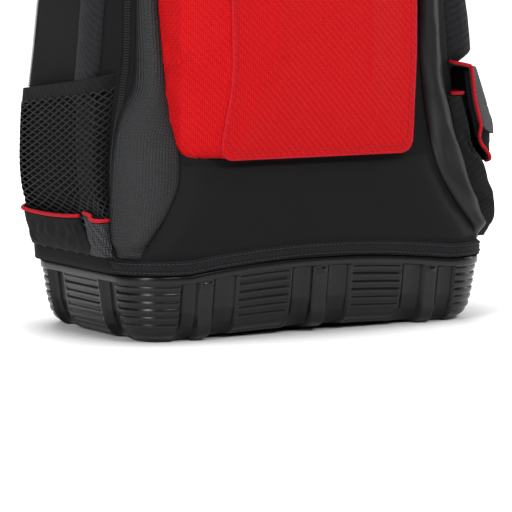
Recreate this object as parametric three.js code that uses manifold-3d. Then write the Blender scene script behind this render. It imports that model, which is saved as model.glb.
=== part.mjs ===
// A jobsite tool backpack: a soft, hollow fabric body on a ribbed moulded base tray, with pockets on three sides.
// Units are millimetres. X runs to the right when the front is faced, the front looks towards -Y and Z points up.
// The origin is on the floor, in the middle of the tray's flat underside.
import * as THREE from "three";
import { mergeVertices } from "three/addons/utils/BufferGeometryUtils.js";
import Module from "manifold-3d";

const wasm = await Module();
wasm.setup();

// Driving sizes of the base tray
const BASE_WIDTH = 375;
const BASE_DEPTH = 218;
const BASE_CORNER = 44;
const BASE_HEIGHT = 60;
const RIM_ARCH = 9;
const UNDER_ARCH = 5;
const RIM_FLANGE = 7;
const TRAY_WALL = 4;
const RIB_COUNT = 7;
const RIB_DEPTH = 2.2;
const POST_PITCH = 117;
const POST_WIDTH = 13;
const RIB_BLOCK_WIDTH = 56;
const SIDE_BLOCK_WIDTH = 68;

// Driving sizes of the fabric body
const SHOULDER_HEIGHT = 390;
const PACK_HEIGHT = 493;
const CLOTH = 2.5;
const GAP = 0.35;
const BINDING_HEIGHT = 12.5;
const BINDING_THICKNESS = 2.4;
const BAND_WIDTH = 40;
const BAND_BULGE = 11;
const BAND_BULGE_RIGHT = 31;
const STRIP_BULGE = 10;
const ZIP_THICKNESS = 1.8;
const ZIP_WIDTH = 9;
const PANEL_THICKNESS = 3;

// Driving sizes of the pockets
const RED_POCKET_BOTTOM = 159;
const RED_POCKET_TOP = 407;
const RED_POCKET_ROOT = 133;
const RED_POCKET_FACE = 99;
const RED_POCKET_FRONT = BASE_DEPTH / 2 - 2;
const RED_POCKET_CROWN = 7;
const MESH_POCKET_TOP = 198;
const MESH_TOP_RISE = 22;
const MESH_BAND_HEIGHT = 14;
const MESH_STAND_OFF = 11;
const NET_THICKNESS = 1.4;
const NET_ROWS = 7;
const NET_COLUMNS = 6;
const TOOL_POCKET_TOP = 107;
const TOOL_POCKET_DEPTH = 4;
const PIPING = 3.4;
const LOWER_POCKET_TOP = 204;
const LOWER_POCKET_DEPTH = 23;
const UPPER_POCKET_BOTTOM = 141;
const UPPER_POCKET_TOP = 226;
const UPPER_POCKET_DEPTH = 35;
const FLAP_THICKNESS = 2;

// Driving sizes of what carries the pack
const PAD_THICKNESS = 12;
const PAD_WIDTH = 104;
const PAD_SPREAD = 66;
const PAD_BOTTOM = 170;
const PAD_TOP = 424;
const LUMBAR_BOTTOM = 92;
const LUMBAR_TOP = 160;
const LUMBAR_WIDTH = 236;
const STRAP_WIDTH = 66;
const STRAP_THICKNESS = 12;
const STRAP_LENGTH = 230;
const WEBBING_WIDTH = 25;
const WEBBING_THICKNESS = 1.8;
const LOCK_HEIGHT = 30;
const LOCK_THICKNESS = 5;
const HANDLE_SPAN = 110;
const HANDLE_RISE = 34;
const HANDLE_WIDTH = 28;
const HANDLE_THICKNESS = 9;
const SLIDER_LENGTH = 12;

// Colours and finishes
const POLYPROPYLENE = { color: 0x1b1c1e, roughness: 0.42, metalness: 0 };
const BLACK_POLYESTER = { color: 0x1d1d1f, roughness: 0.85, metalness: 0 };
const WOVEN_NYLON = { color: 0x242426, roughness: 0.8, metalness: 0 };
const MOULDED_FOAM = { color: 0x2c2c2f, roughness: 0.6, metalness: 0 };
const RED_POLYESTER = { color: 0xd0121b, roughness: 0.75, metalness: 0 };
const RED_PIPING = { color: 0xc4202a, roughness: 0.7, metalness: 0 };
const NET = { color: 0x38383b, roughness: 0.8, metalness: 0 };
const ZIP_TAPE = { color: 0x151516, roughness: 0.6, metalness: 0 };
const GREY_FLAP = { color: 0x4a4b4e, roughness: 0.8, metalness: 0 };
const DARK_METAL = { color: 0x3a3b3d, roughness: 0.35, metalness: 1 };

const pack = new THREE.Group();

const lerp = THREE.MathUtils.lerp;
const clamp = THREE.MathUtils.clamp;
const HALF_WIDTH = BASE_WIDTH / 2;
const HALF_DEPTH = BASE_DEPTH / 2;

function add(name, geometry, finish) {
  const mesh = new THREE.Mesh(geometry, new THREE.MeshStandardMaterial(finish));
  mesh.name = name;
  pack.add(mesh);
}

// Welds a mesh, drops its flat triangles and turns it so that its faces point out.
function weld(positions, index) {
  const loose = new THREE.BufferGeometry();
  loose.setAttribute("position", new THREE.Float32BufferAttribute(positions, 3));
  loose.setIndex(index);
  const merged = mergeVertices(loose, 1e-3);
  const at = merged.getAttribute("position");
  const point = (i) => new THREE.Vector3().fromBufferAttribute(at, i);
  const kept = [];
  let volume = 0;
  for (let i = 0; i < merged.index.count; i += 3) {
    const [a, b, c] = [0, 1, 2].map((k) => merged.index.getX(i + k));
    if (a === b || b === c || c === a) continue;
    kept.push(a, b, c);
    volume += point(a).dot(point(b).cross(point(c)));
  }
  if (volume < 0) kept.reverse();
  merged.setIndex(kept);
  return merged;
}

// Welds a library geometry by position alone.
function bare(geometry) {
  const loose = geometry.index ? geometry.toNonIndexed() : geometry;
  const points = loose.getAttribute("position").array;
  return weld(Array.from(points), Array.from({ length: points.length / 3 }, (_, i) => i));
}

function toSolid(geometry) {
  return new wasm.Manifold(new wasm.Mesh({
    numProp: 3,
    vertProperties: new Float32Array(geometry.getAttribute("position").array),
    triVerts: new Uint32Array(geometry.index.array),
  }));
}

function toGeometry(solid) {
  const { vertProperties, triVerts } = solid.getMesh();
  return weld(Array.from(vertProperties), Array.from(triVerts));
}

// Fills a flat ring of points with triangles that run round it the way its points do.
function fill(flat) {
  const turn = Math.sign(THREE.ShapeUtils.area(flat));
  return THREE.ShapeUtils.triangulateShape(flat, []).map(([a, b, c]) => (
    Math.sign(THREE.ShapeUtils.area([flat[a], flat[b], flat[c]])) === turn ? [a, b, c] : [a, c, b]
  ));
}

// A closed body through sections with the same number of points. flat holds the section's points in its own plane.
function loft(sections, flat, looped = false) {
  const count = sections[0].length;
  const positions = sections.flat().flatMap((p) => [p.x, p.y, p.z]);
  const index = [];
  const spans = looped ? sections.length : sections.length - 1;
  for (let i = 0; i < spans; i++) {
    const next = ((i + 1) % sections.length) * count;
    for (let k = 0; k < count; k++) {
      const a = i * count + k;
      const b = i * count + ((k + 1) % count);
      const c = next + k;
      const d = next + ((k + 1) % count);
      index.push(a, b, d, a, d, c);
    }
  }
  if (!looped) {
    const last = (sections.length - 1) * count;
    for (const [a, b, c] of fill(flat)) index.push(a, c, b, last + a, last + b, last + c);
  }
  return weld(positions, index);
}

// A closed skin over a grid of places: place(u, v) gives its inner and outer points, with u and v from 0 to 1.
function skin(rows, columns, place) {
  const positions = [];
  for (const side of ["inner", "outer"]) {
    for (let i = 0; i <= rows; i++) {
      for (let j = 0; j <= columns; j++) {
        const p = place(i / rows, j / columns)[side];
        positions.push(p.x, p.y, p.z);
      }
    }
  }
  const wide = columns + 1;
  const layer = (rows + 1) * wide;
  const index = [];
  const quad = (a, b, c, d) => index.push(a, b, c, a, c, d);
  for (let i = 0; i < rows; i++) {
    for (let j = 0; j < columns; j++) {
      const a = i * wide + j;
      quad(a, a + 1, a + wide + 1, a + wide);
      quad(layer + a, layer + a + wide, layer + a + wide + 1, layer + a + 1);
    }
  }
  for (let j = 0; j < columns; j++) {
    const top = rows * wide + j;
    quad(j, layer + j, layer + j + 1, j + 1);
    quad(top, top + 1, layer + top + 1, layer + top);
  }
  for (let i = 0; i < rows; i++) {
    const left = i * wide;
    const right = left + columns;
    quad(left, left + wide, layer + left + wide, layer + left);
    quad(right, layer + right, layer + right + wide, right + wide);
  }
  return weld(positions, index);
}

// Reads a column of a table whose rows are sorted by its key.
function read(table, key, at, column) {
  const next = table.findIndex((row) => row[key] >= at);
  if (next === 0) return table[0][column];
  if (next < 0) return table[table.length - 1][column];
  const [low, high] = [table[next - 1], table[next]];
  return lerp(low[column], high[column], (at - low[key]) / (high[key] - low[key]));
}

// The base tray's outline in plan, with its outward normals. Long sides have extra points for the arched rim.
const ARC_STEPS = 4;
const LONG_SIDE_STEPS = 6;
const CORNER_CENTRES = [[1, -1], [1, 1], [-1, 1], [-1, -1]];

function trayOutline() {
  const points = [];
  CORNER_CENTRES.forEach(([sx, sy], corner) => {
    const centre = [sx * (HALF_WIDTH - BASE_CORNER), sy * (HALF_DEPTH - BASE_CORNER)];
    for (let k = 0; k <= ARC_STEPS; k++) {
      const angle = (corner - 1 + k / ARC_STEPS) * Math.PI / 2;
      const normal = new THREE.Vector2(Math.cos(angle), Math.sin(angle));
      points.push({ x: centre[0] + BASE_CORNER * normal.x, y: centre[1] + BASE_CORNER * normal.y, normal });
    }
    if (corner % 2 === 1) {
      const reach = HALF_WIDTH - BASE_CORNER;
      for (let k = 1; k < LONG_SIDE_STEPS; k++) {
        const x = sx * reach * (1 - 2 * k / LONG_SIDE_STEPS);
        points.push({ x, y: sy * HALF_DEPTH, normal: new THREE.Vector2(0, sy) });
      }
    }
  });
  return points;
}

// How far the rim rises above its corners: it arches over the middle of the front and the back.
const ARCH_REACH = 0.72 * HALF_WIDTH;

function rimRise(x, y) {
  const onLongSide = clamp((Math.abs(y) / HALF_DEPTH - 0.8) / 0.12, 0, 1);
  return RIM_ARCH * onLongSide * Math.max(0, 1 - (x / ARCH_REACH) ** 2);
}

// How far the underside rises between the corners, which carry the pack.
function underRise(x, y) {
  const onLongSide = clamp((Math.abs(y) / HALF_DEPTH - 0.8) / 0.12, 0, 1);
  return UNDER_ARCH * onLongSide * Math.max(0, 1 - (x / ARCH_REACH) ** 2);
}

// The height of a point of the tray's wall, between its arched underside and its arched rim.
function arched(x, y, z) {
  const share = clamp(z / FLANGE_BOTTOM, 0, 1);
  return z + lerp(underRise(x, y), rimRise(x, y), share);
}

// Tray profile: height is a share of the base height, block and wall are insets as shares of the corner radius.
const TRAY_PROFILE = [
  { height: 0.0, block: 0.5, wall: 0.62 },
  { height: 0.06, block: 0.34, wall: 0.5 },
  { height: 0.2, block: 0.2, wall: 0.38 },
  { height: 0.42, block: 0.12, wall: 0.28 },
  { height: 0.87, block: 0.03, wall: 0.2 },
];
const blockInset = (z) => BASE_CORNER * read(TRAY_PROFILE, "height", z / BASE_HEIGHT, "block");
const wallInset = (z) => BASE_CORNER * read(TRAY_PROFILE, "height", z / BASE_HEIGHT, "wall");
const FLANGE_BOTTOM = BASE_HEIGHT - RIM_FLANGE;
const FLANGE_INSIDE = wallInset(FLANGE_BOTTOM) + TRAY_WALL;
const RIM_INSIDE = FLANGE_INSIDE + TRAY_WALL;

function trayRing(outline, inset, z, isArched = true) {
  return outline.map((p) => {
    const x = p.x - p.normal.x * inset;
    const y = p.y - p.normal.y * inset;
    return new THREE.Vector3(x, y, isArched ? arched(p.x, p.y, z) : z);
  });
}

// Sweeps a closed profile of { inset, z } points along part of the tray's outline.
function sweepOnTray(outline, profile) {
  const sections = outline.map((p) => profile.map(({ inset, z }) => (
    new THREE.Vector3(p.x - p.normal.x * inset, p.y - p.normal.y * inset, arched(p.x, p.y, z))
  )));
  return loft(sections, profile.map(({ inset, z }) => new THREE.Vector2(inset, z)));
}

function straightRun(from, to, normal) {
  return [from, to].map(([x, y]) => ({ x, y, normal }));
}

// The comb profile of a ribbed block: raised horizontal ribs between two plain edges, sunk into the tray's wall.
function ribProfile() {
  const bottom = 0.07 * BASE_HEIGHT;
  const top = FLANGE_BOTTOM - 1;
  const pitch = (top - bottom) / RIB_COUNT;
  const points = [{ inset: blockInset(0) + RIB_DEPTH, z: 0 }];
  for (let rib = 0; rib < RIB_COUNT; rib++) {
    const z = bottom + rib * pitch;
    points.push({ inset: blockInset(z) + RIB_DEPTH, z });
    points.push({ inset: blockInset(z + 0.3 * pitch), z: z + 0.3 * pitch });
    points.push({ inset: blockInset(z + 0.75 * pitch), z: z + 0.75 * pitch });
  }
  points.push({ inset: blockInset(top) + RIB_DEPTH, z: top });
  return closeIntoWall(points, top);
}

// The profile of a post: a plain upright with a foot that steps out at the floor.
function postProfile() {
  const top = FLANGE_BOTTOM + 1;
  const levels = [0, 0.1, 0.28, 0.4, 0.87];
  const shares = [0.75, 0.75, 0.8, 1, 1];
  const points = levels.map((level, i) => ({
    inset: blockInset(level * BASE_HEIGHT) * shares[i],
    z: level * BASE_HEIGHT,
  }));
  points.push({ inset: points[points.length - 1].inset, z: top });
  return closeIntoWall(points, top);
}

function closeIntoWall(points, top) {
  const sunk = TRAY_WALL / 2;
  const back = [top, 0.42 * BASE_HEIGHT, 0.2 * BASE_HEIGHT, 0.06 * BASE_HEIGHT, 0];
  return points.concat(back.map((z) => ({ inset: wallInset(z) + sunk, z })));
}

function baseTray() {
  const outline = trayOutline();
  const flat = outline.map((p) => new THREE.Vector2(p.x, p.y));
  const outer = TRAY_PROFILE.map(({ height }) => (
    trayRing(outline, wallInset(height * BASE_HEIGHT), height * BASE_HEIGHT)
  ));
  outer.unshift(trayRing(outline, 0.95 * BASE_CORNER, 0, false));
  outer.push(trayRing(outline, 0, FLANGE_BOTTOM));
  outer.push(trayRing(outline, 0, BASE_HEIGHT));
  outer.push(trayRing(outline, RIM_INSIDE, BASE_HEIGHT));
  const inner = TRAY_PROFILE.filter((row, k) => k % 4 === 0).map(({ height }) => (
    trayRing(outline, wallInset(height * BASE_HEIGHT) + TRAY_WALL, height * BASE_HEIGHT + TRAY_WALL)
  ));
  inner.unshift(trayRing(outline, 0.95 * BASE_CORNER + TRAY_WALL, TRAY_WALL, false));
  inner.push(trayRing(outline, FLANGE_INSIDE, BASE_HEIGHT + 2 * RIM_ARCH, false));
  let tray = toSolid(loft(outer, flat)).subtract(toSolid(loft(inner, flat)));

  const ribs = ribProfile();
  const post = postProfile();
  const corner = ARC_STEPS + 1;
  const raised = [];
  for (let k = 0; k < 4; k++) {
    const start = k * corner + (k > 1 ? LONG_SIDE_STEPS - 1 : 0);
    const arc = outline.slice(start, start + corner);
    raised.push(sweepOnTray(arc, ribs));
  }
  for (const side of [-1, 1]) {
    const y = side * HALF_DEPTH;
    const normal = new THREE.Vector2(0, side);
    for (const x of [-POST_PITCH / 2, POST_PITCH / 2]) {
      const half = RIB_BLOCK_WIDTH / 2;
      raised.push(sweepOnTray(straightRun([x - half, y], [x + half, y], normal), ribs));
    }
    for (const x of [-POST_PITCH, 0, POST_PITCH]) {
      const half = POST_WIDTH / 2;
      raised.push(sweepOnTray(straightRun([x - half, y], [x + half, y], normal), post));
    }
    const wall = side * HALF_WIDTH;
    const half = SIDE_BLOCK_WIDTH / 2;
    raised.push(sweepOnTray(straightRun([wall, -half], [wall, half], new THREE.Vector2(side, 0)), ribs));
  }
  for (const piece of raised) tray = tray.add(toSolid(piece));
  return toGeometry(tray);
}

// The fabric body. Each row of the table is a level of the side: rise is a share of the side's height, half is a
// share of the base's half width, y columns are shares of its half depth and insets are shares of the corner radius.
const BODY_FLOOR = BASE_HEIGHT + GAP;
const BODY_ROWS = [
  { rise: 0.0, half: 1.01, rear: 1.005, cut: 0.75, zip: -0.6, groove: 0.02, outer: 0.03, inner: 0.3, innerY: -0.9, front: -1.0 },
  { rise: 0.075, half: 1.01, rear: 1.01, cut: 0.66, zip: -0.59, groove: 0.03, outer: 0.06, inner: 0.36, innerY: -0.85, front: -0.99 },
  { rise: 0.13, half: 1.012, rear: 1.02, cut: 0.56, zip: -0.55, groove: 0.05, outer: 0.13, inner: 0.76, innerY: -0.85, front: -0.955 },
  { rise: 0.225, half: 1.013, rear: 1.03, cut: 0.44, zip: -0.49, groove: 0.12, outer: 0.22, inner: 1.2, innerY: -0.82, front: -0.89 },
  { rise: 0.305, half: 1.006, rear: 1.03, cut: 0.38, zip: -0.43, groove: 0.18, outer: 0.28, inner: 1.3, innerY: -0.76, front: -0.8 },
  { rise: 0.38, half: 0.998, rear: 1.02, cut: 0.34, zip: -0.4, groove: 0.24, outer: 0.37, inner: 1.3, innerY: -0.69, front: -0.72 },
  { rise: 0.46, half: 0.988, rear: 1.01, cut: 0.32, zip: -0.385, groove: 0.3, outer: 0.47, inner: 1.27, innerY: -0.62, front: -0.65 },
  { rise: 0.56, half: 0.967, rear: 1.0, cut: 0.32, zip: -0.38, groove: 0.32, outer: 0.52, inner: 1.18, innerY: -0.57, front: -0.6 },
  { rise: 0.71, half: 0.94, rear: 0.99, cut: 0.32, zip: -0.37, groove: 0.26, outer: 0.43, inner: 0.98, innerY: -0.51, front: -0.55 },
  { rise: 0.86, half: 0.907, rear: 0.98, cut: 0.34, zip: -0.36, groove: 0.25, outer: 0.41, inner: 0.86, innerY: -0.48, front: -0.52 },
  { rise: 1.0, half: 0.865, rear: 0.97, cut: 0.38, zip: -0.34, groove: 0.25, outer: 0.4, inner: 0.8, innerY: -0.45, front: -0.49 },
  { rise: 2.0, half: 0.865, rear: 0.9, cut: 0.55, zip: -0.26, groove: 0.25, outer: 0.4, inner: 0.7, innerY: -0.36, front: -0.42 },
];
const ARCH_ROWS = 4;
const ARCH_POWER = 2.5;
const REAR_ARC = 2;
const BODY_LEVELS = BODY_ROWS.map((row) => row.rise).filter((rise) => rise <= 1);
for (let k = 1; k <= ARCH_ROWS; k++) BODY_LEVELS.push(1 + k / ARCH_ROWS);

// Stations round half of the body, from the middle of the back to the middle of the front.
const REAR_EDGE = 2;
const SIDE_START = REAR_EDGE + REAR_ARC;
const BAND_REAR = SIDE_START + 2;
const BAND_FRONT = BAND_REAR + 1;
const ZIP = BAND_FRONT + 1;
const STRIP_OUTER = ZIP + 1;
const STRIP_INNER = STRIP_OUTER + 1;
const PANEL_EDGE = STRIP_INNER + 1;
const FRONT_MIDDLE = PANEL_EDGE + 2;
const ZIP_LIP = 6;

// The body's outline seen from the front, at a level: upright to the shoulder, then an arch to the top.
function outlineAt(level) {
  const half = HALF_WIDTH * read(BODY_ROWS, "rise", level, "half");
  if (level <= 1) {
    return { x: half, z: lerp(BODY_FLOOR, SHOULDER_HEIGHT, level), nx: 1, nz: 0 };
  }
  const angle = (level - 1) * Math.PI / 2;
  const rise = PACK_HEIGHT - SHOULDER_HEIGHT;
  const [c, s] = [Math.cos(angle) ** (2 / ARCH_POWER), Math.sin(angle) ** (2 / ARCH_POWER)];
  const top = level > 1.999;
  const normal = new THREE.Vector2(c ** (ARCH_POWER - 1) / half, s ** (ARCH_POWER - 1) / rise).normalize();
  return { x: top ? 0 : half * c, z: SHOULDER_HEIGHT + rise * s, nx: top ? 0 : normal.x, nz: top ? 1 : normal.y };
}

// Half of the body's section at a level, grown outwards by a length. Points have x at or above zero.
function halfSection(level, grow) {
  const get = (column) => read(BODY_ROWS, "rise", level, column);
  const [cut, rear, zip] = [BASE_CORNER * get("cut"), HALF_DEPTH * get("rear"), HALF_DEPTH * get("zip")];
  const trace = [];
  for (let k = 0; k <= REAR_ARC; k++) {
    const angle = k / REAR_ARC * Math.PI / 2;
    trace.push(new THREE.Vector2(-cut * (1 - Math.sin(angle)), rear - cut * (1 - Math.cos(angle))));
  }
  const bandRear = zip + ZIP_LIP + BAND_WIDTH;
  trace.push(new THREE.Vector2(0, (rear - cut + bandRear) / 2));
  trace.push(new THREE.Vector2(0, bandRear));
  trace.push(new THREE.Vector2(0, zip + ZIP_LIP));
  trace.push(new THREE.Vector2(-BASE_CORNER * get("groove"), zip));
  trace.push(new THREE.Vector2(-BASE_CORNER * get("outer"), zip - ZIP_LIP));
  trace.push(new THREE.Vector2(-BASE_CORNER * get("inner"), HALF_DEPTH * get("innerY")));

  const outline = outlineAt(level);
  const grown = trace.map((p, k) => {
    const before = k === 0 ? new THREE.Vector2(p.x - 1, p.y) : trace[k - 1];
    const after = k === trace.length - 1 ? new THREE.Vector2(p.x - 1, p.y - 0.1) : trace[k + 1];
    const along = after.clone().sub(before).normalize();
    const [out, back] = [p.x - along.y * grow, p.y + along.x * grow];
    const x = Math.max(0, outline.x + outline.nx * out);
    return new THREE.Vector3(x, back, outline.z + outline.nz * out);
  });
  const [first, last] = [grown[0], grown[grown.length - 1]];
  const front = HALF_DEPTH * get("front") - grow;
  const points = [
    new THREE.Vector3(0, rear + grow, first.z),
    new THREE.Vector3(first.x / 2, rear + grow, first.z),
    ...grown,
    new THREE.Vector3(last.x * 0.86, lerp(last.y, front, 0.8), last.z),
    new THREE.Vector3(last.x * 0.45, lerp(last.y, front, 0.97), last.z),
    new THREE.Vector3(0, front, last.z),
  ];
  return points;
}

// A point on the grown body: station may lie between two of them, side is -1 for the left and 1 for the right.
function onBody(level, station, side, grow) {
  const points = halfSection(level, grow);
  const low = Math.min(Math.floor(station), points.length - 2);
  const p = points[low].clone().lerp(points[low + 1], station - low);
  p.x *= side;
  return p;
}

const levelOf = (z) => (z - BODY_FLOOR) / (SHOULDER_HEIGHT - BODY_FLOOR);
const bindingTop = (x, y) => BASE_HEIGHT + 2 * GAP + rimRise(x, y) + BINDING_HEIGHT;

// Lofts the body up to its top ridge, where the left and right halves meet in one line.
function bodySolid(grow, sink) {
  const sections = BODY_LEVELS.map((level) => {
    const half = halfSection(level, grow);
    const mirrored = half.slice(1, -1).reverse().map((p) => new THREE.Vector3(-p.x, p.y, p.z));
    return half.concat(mirrored);
  });
  if (sink > 0) sections.unshift(sections[0].map((p) => new THREE.Vector3(p.x, p.y, BODY_FLOOR - sink)));
  const flat = sections[0].map((p) => new THREE.Vector2(p.x, p.y));
  const count = sections[0].length;
  const positions = sections.flat().flatMap((p) => [p.x, p.y, p.z]);
  const index = [];
  for (let i = 0; i < sections.length - 1; i++) {
    for (let k = 0; k < count; k++) {
      const [a, b] = [i * count + k, i * count + ((k + 1) % count)];
      index.push(a, b, b + count, a, b + count, a + count);
    }
  }
  for (const [a, b, c] of fill(flat)) index.push(a, c, b);
  return toSolid(weld(positions, index));
}

const keepOut = bodySolid(GAP, 0);
// How deep a seated piece starts inside the body before it is cut clear of it.
const ROOT = -1;

// All that the tray's arched rim takes up, with its clearance: the fabric ends on it.
function rimKeepOut() {
  const outline = trayOutline();
  const spread = -BASE_CORNER / 4;
  const low = trayRing(outline, spread, 0, false);
  const high = trayRing(outline, spread, BASE_HEIGHT + GAP);
  const inside = trayRing(outline, RIM_INSIDE, BASE_HEIGHT + GAP);
  return toSolid(loft([low, high, inside], outline.map((p) => new THREE.Vector2(p.x, p.y))));
}

// Cuts a piece clear of the body, and of any other piece's keep-out, so that it lies against them.
function seated(geometry, ...others) {
  const solid = others.reduce((left, other) => left.subtract(other), toSolid(geometry).subtract(keepOut));
  const bodies = solid.decompose().sort((a, b) => b.volume() - a.volume());
  return toGeometry(bodies[0]);
}

// A strip that runs up the left side, over the top and down the right side. A column is a station and its lift.
function hoop(fromZ, columns, { root = GAP, extraLevels = [] } = {}) {
  const start = levelOf(fromZ);
  const half = BODY_LEVELS.concat(extraLevels).filter((level) => level > start).sort((a, b) => a - b);
  half.unshift(start);
  const path = half.map((level) => ({ level, side: -1 }));
  path.push(...half.slice(0, -1).reverse().map((level) => ({ level, side: 1 })));
  return skin(path.length - 1, columns.length - 1, (u, v) => {
    const { level, side } = path[Math.round(u * (path.length - 1))];
    const { station, lift } = columns[Math.round(v * (columns.length - 1))];
    const place = station(level);
    return { inner: onBody(level, place, side, root), outer: onBody(level, place, side, GAP + lift(level, side)) };
  });
}

// Two columns of a zip of one width, in the middle of the flat stretch that starts at a station.
function zipColumns(from) {
  const edge = (level, sign) => {
    const span = onBody(level, from, 1, 0).distanceTo(onBody(level, from + 1, 1, 0));
    return from + 0.5 + sign * Math.min(0.45, ZIP_WIDTH / 2 / span);
  };
  return [-1, 1].map((sign) => ({ station: (level) => edge(level, sign), lift: () => ZIP_THICKNESS }));
}

// The moulded corner strip: bulged across, and tapered to a tip at both ends.
const STRIP_ACROSS = [0.3, 0.85, 1, 0.8, 0.3];
const STRIP_TOP = 0.93;

function cornerStrip(side, spare = 0) {
  const start = levelOf(bindingTop(HALF_WIDTH, 0) + 1);
  const levels = BODY_LEVELS.filter((level) => level > start + 0.02 && level < STRIP_TOP);
  const path = [start, ...levels, STRIP_TOP];
  return skin(path.length - 1, STRIP_ACROSS.length - 1, (u, v) => {
    const level = path[Math.round(u * (path.length - 1))];
    const station = STRIP_OUTER + 0.06 + (0.88 + spare / 20) * v;
    const bulge = STRIP_BULGE * STRIP_ACROSS[Math.round(v * (STRIP_ACROSS.length - 1))];
    const taper = u === 0 || u === 1 ? 0.3 : 1;
    return {
      inner: onBody(level, station, side, ROOT),
      outer: onBody(level, station, side, GAP + bulge * taper + spare),
    };
  });
}

// The smooth panel below the red pocket, from one corner strip to the other.
function lowerFrontPanel() {
  const stations = [STRIP_INNER - 0.1, PANEL_EDGE, PANEL_EDGE + 1];
  const columns = stations.map((station) => ({ station, side: -1 }));
  columns.push({ station: FRONT_MIDDLE, side: 1 });
  columns.push(...stations.slice().reverse().map((station) => ({ station, side: 1 })));
  const heights = BODY_LEVELS.map((level) => lerp(BODY_FLOOR, SHOULDER_HEIGHT, level));
  const between = heights.filter((z) => z > bindingTop(0, HALF_DEPTH) + 2 && z < RED_POCKET_BOTTOM - 8);
  return skin(between.length + 1, columns.length - 1, (u, v) => {
    const { station, side } = columns[Math.round(v * (columns.length - 1))];
    const foot = onBody(0, station, side, GAP);
    const rows = [bindingTop(foot.x, foot.y) + 1, ...between, RED_POCKET_BOTTOM - 2 * GAP];
    const z = rows[Math.round(u * (rows.length - 1))];
    const crown = PANEL_THICKNESS * (0.4 + 0.6 * Math.sin(Math.PI * u) * Math.sin(Math.PI * v));
    const inner = onBody(levelOf(z), station, side, ROOT);
    const outer = onBody(levelOf(z), station, side, GAP + crown);
    return { inner, outer };
  });
}

// The red pocket's outline at a depth: a rounded rectangle seen from the front.
const POCKET_TOP_CORNER = 46;
const POCKET_ARC = 3;

function pocketOutline(half, bottom, top, cornerRadius) {
  const points = [];
  const corners = [
    { sx: 1, z: bottom, up: 1, radius: cornerRadius, turn: -1 },
    { sx: 1, z: top, up: -1, radius: POCKET_TOP_CORNER, turn: 0 },
    { sx: -1, z: top, up: -1, radius: POCKET_TOP_CORNER, turn: 1 },
    { sx: -1, z: bottom, up: 1, radius: cornerRadius, turn: 2 },
  ];
  for (const { sx, z, up, radius, turn } of corners) {
    for (let k = 0; k <= POCKET_ARC; k++) {
      const angle = (turn + k / POCKET_ARC) * Math.PI / 2;
      const x = sx * (half - radius) + radius * Math.cos(angle);
      points.push(new THREE.Vector2(x, z + up * radius + radius * Math.sin(angle)));
    }
  }
  return points;
}

// Sections of the red pocket from its root to its face: depth runs from 0 to 1, half between root and face.
const POCKET_SECTIONS = [
  { depth: -0.35, narrow: -0.3, corner: 3 },
  { depth: 0.35, narrow: 0.36, corner: 4 },
  { depth: 0.97, narrow: 1, corner: 11 },
];

function pocketBody(wall) {
  const rootY = HALF_DEPTH * read(BODY_ROWS, "rise", levelOf(RED_POCKET_BOTTOM), "front");
  const faceLean = 14;
  const section = (depth, half, corner, scale, bulge) => {
    const outline = pocketOutline(half - wall, RED_POCKET_BOTTOM + wall, RED_POCKET_TOP - wall, corner);
    const middle = (RED_POCKET_BOTTOM + RED_POCKET_TOP) / 2;
    return outline.map((p) => {
      const z = middle + (p.y - middle) * scale;
      const share = (z - RED_POCKET_BOTTOM) / (RED_POCKET_TOP - RED_POCKET_BOTTOM);
      const face = -(RED_POCKET_FRONT - wall) + faceLean * Math.max(0, share - 0.5) ** 2 * 4
        + 6 * Math.max(0, 0.35 - share) / 0.35;
      return new THREE.Vector3(p.x * scale, lerp(rootY + 40, face, (depth + 0.35) / 1.35) - bulge, z);
    });
  };
  const sections = POCKET_SECTIONS.map(({ depth, narrow, corner }) => (
    section(depth, lerp(RED_POCKET_ROOT, RED_POCKET_FACE, narrow), corner, 1, 0)
  ));
  sections.push(section(1, RED_POCKET_FACE, 11, 0.96, 0));
  sections.push(section(1, RED_POCKET_FACE, 11, 0.5, RED_POCKET_CROWN));
  const flat = sections[0].map((p) => new THREE.Vector2(p.x, p.z));
  return toSolid(loft(sections, flat));
}

// The mesh pocket stands off the left side: across runs from its rear edge to its front edge.
const MESH_REAR = SIDE_START - 0.4;
// The front edge of the side pockets: beside the zip above, and over it low down, where it has ended.
const pocketFront = (z) => lerp(ZIP + 0.9, BAND_FRONT + 0.9, clamp((z - TOOL_POCKET_TOP - 2) / 16, 0, 1));
const standOff = (v) => Math.min(1, Math.sin(Math.PI * clamp(v, 0, 1)) * 2.6);
const meshTopAt = (v) => MESH_POCKET_TOP + MESH_TOP_RISE * v;

function meshPlace(z, v, lift, thickness) {
  const station = lerp(MESH_REAR, pocketFront(z), v);
  const rise = clamp((z - sideFloor) / (0.75 * MESH_POCKET_TOP - sideFloor), 0, 1);
  const off = 3 * GAP + (MESH_STAND_OFF * (0.3 + 0.7 * Math.sqrt(rise)) + lift) * standOff(v);
  return {
    inner: onBody(levelOf(z), station, -1, off),
    outer: onBody(levelOf(z), station, -1, off + thickness),
  };
}

const sideFloor = bindingTop(HALF_WIDTH, 0) + 1;

const MESH_STEPS = 10;

function meshSheet(thickness) {
  return toSolid(skin(6, MESH_STEPS, (u, v) => (
    meshPlace(lerp(sideFloor, meshTopAt(v) - GAP, u), v, 0, thickness)
  )));
}

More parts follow.
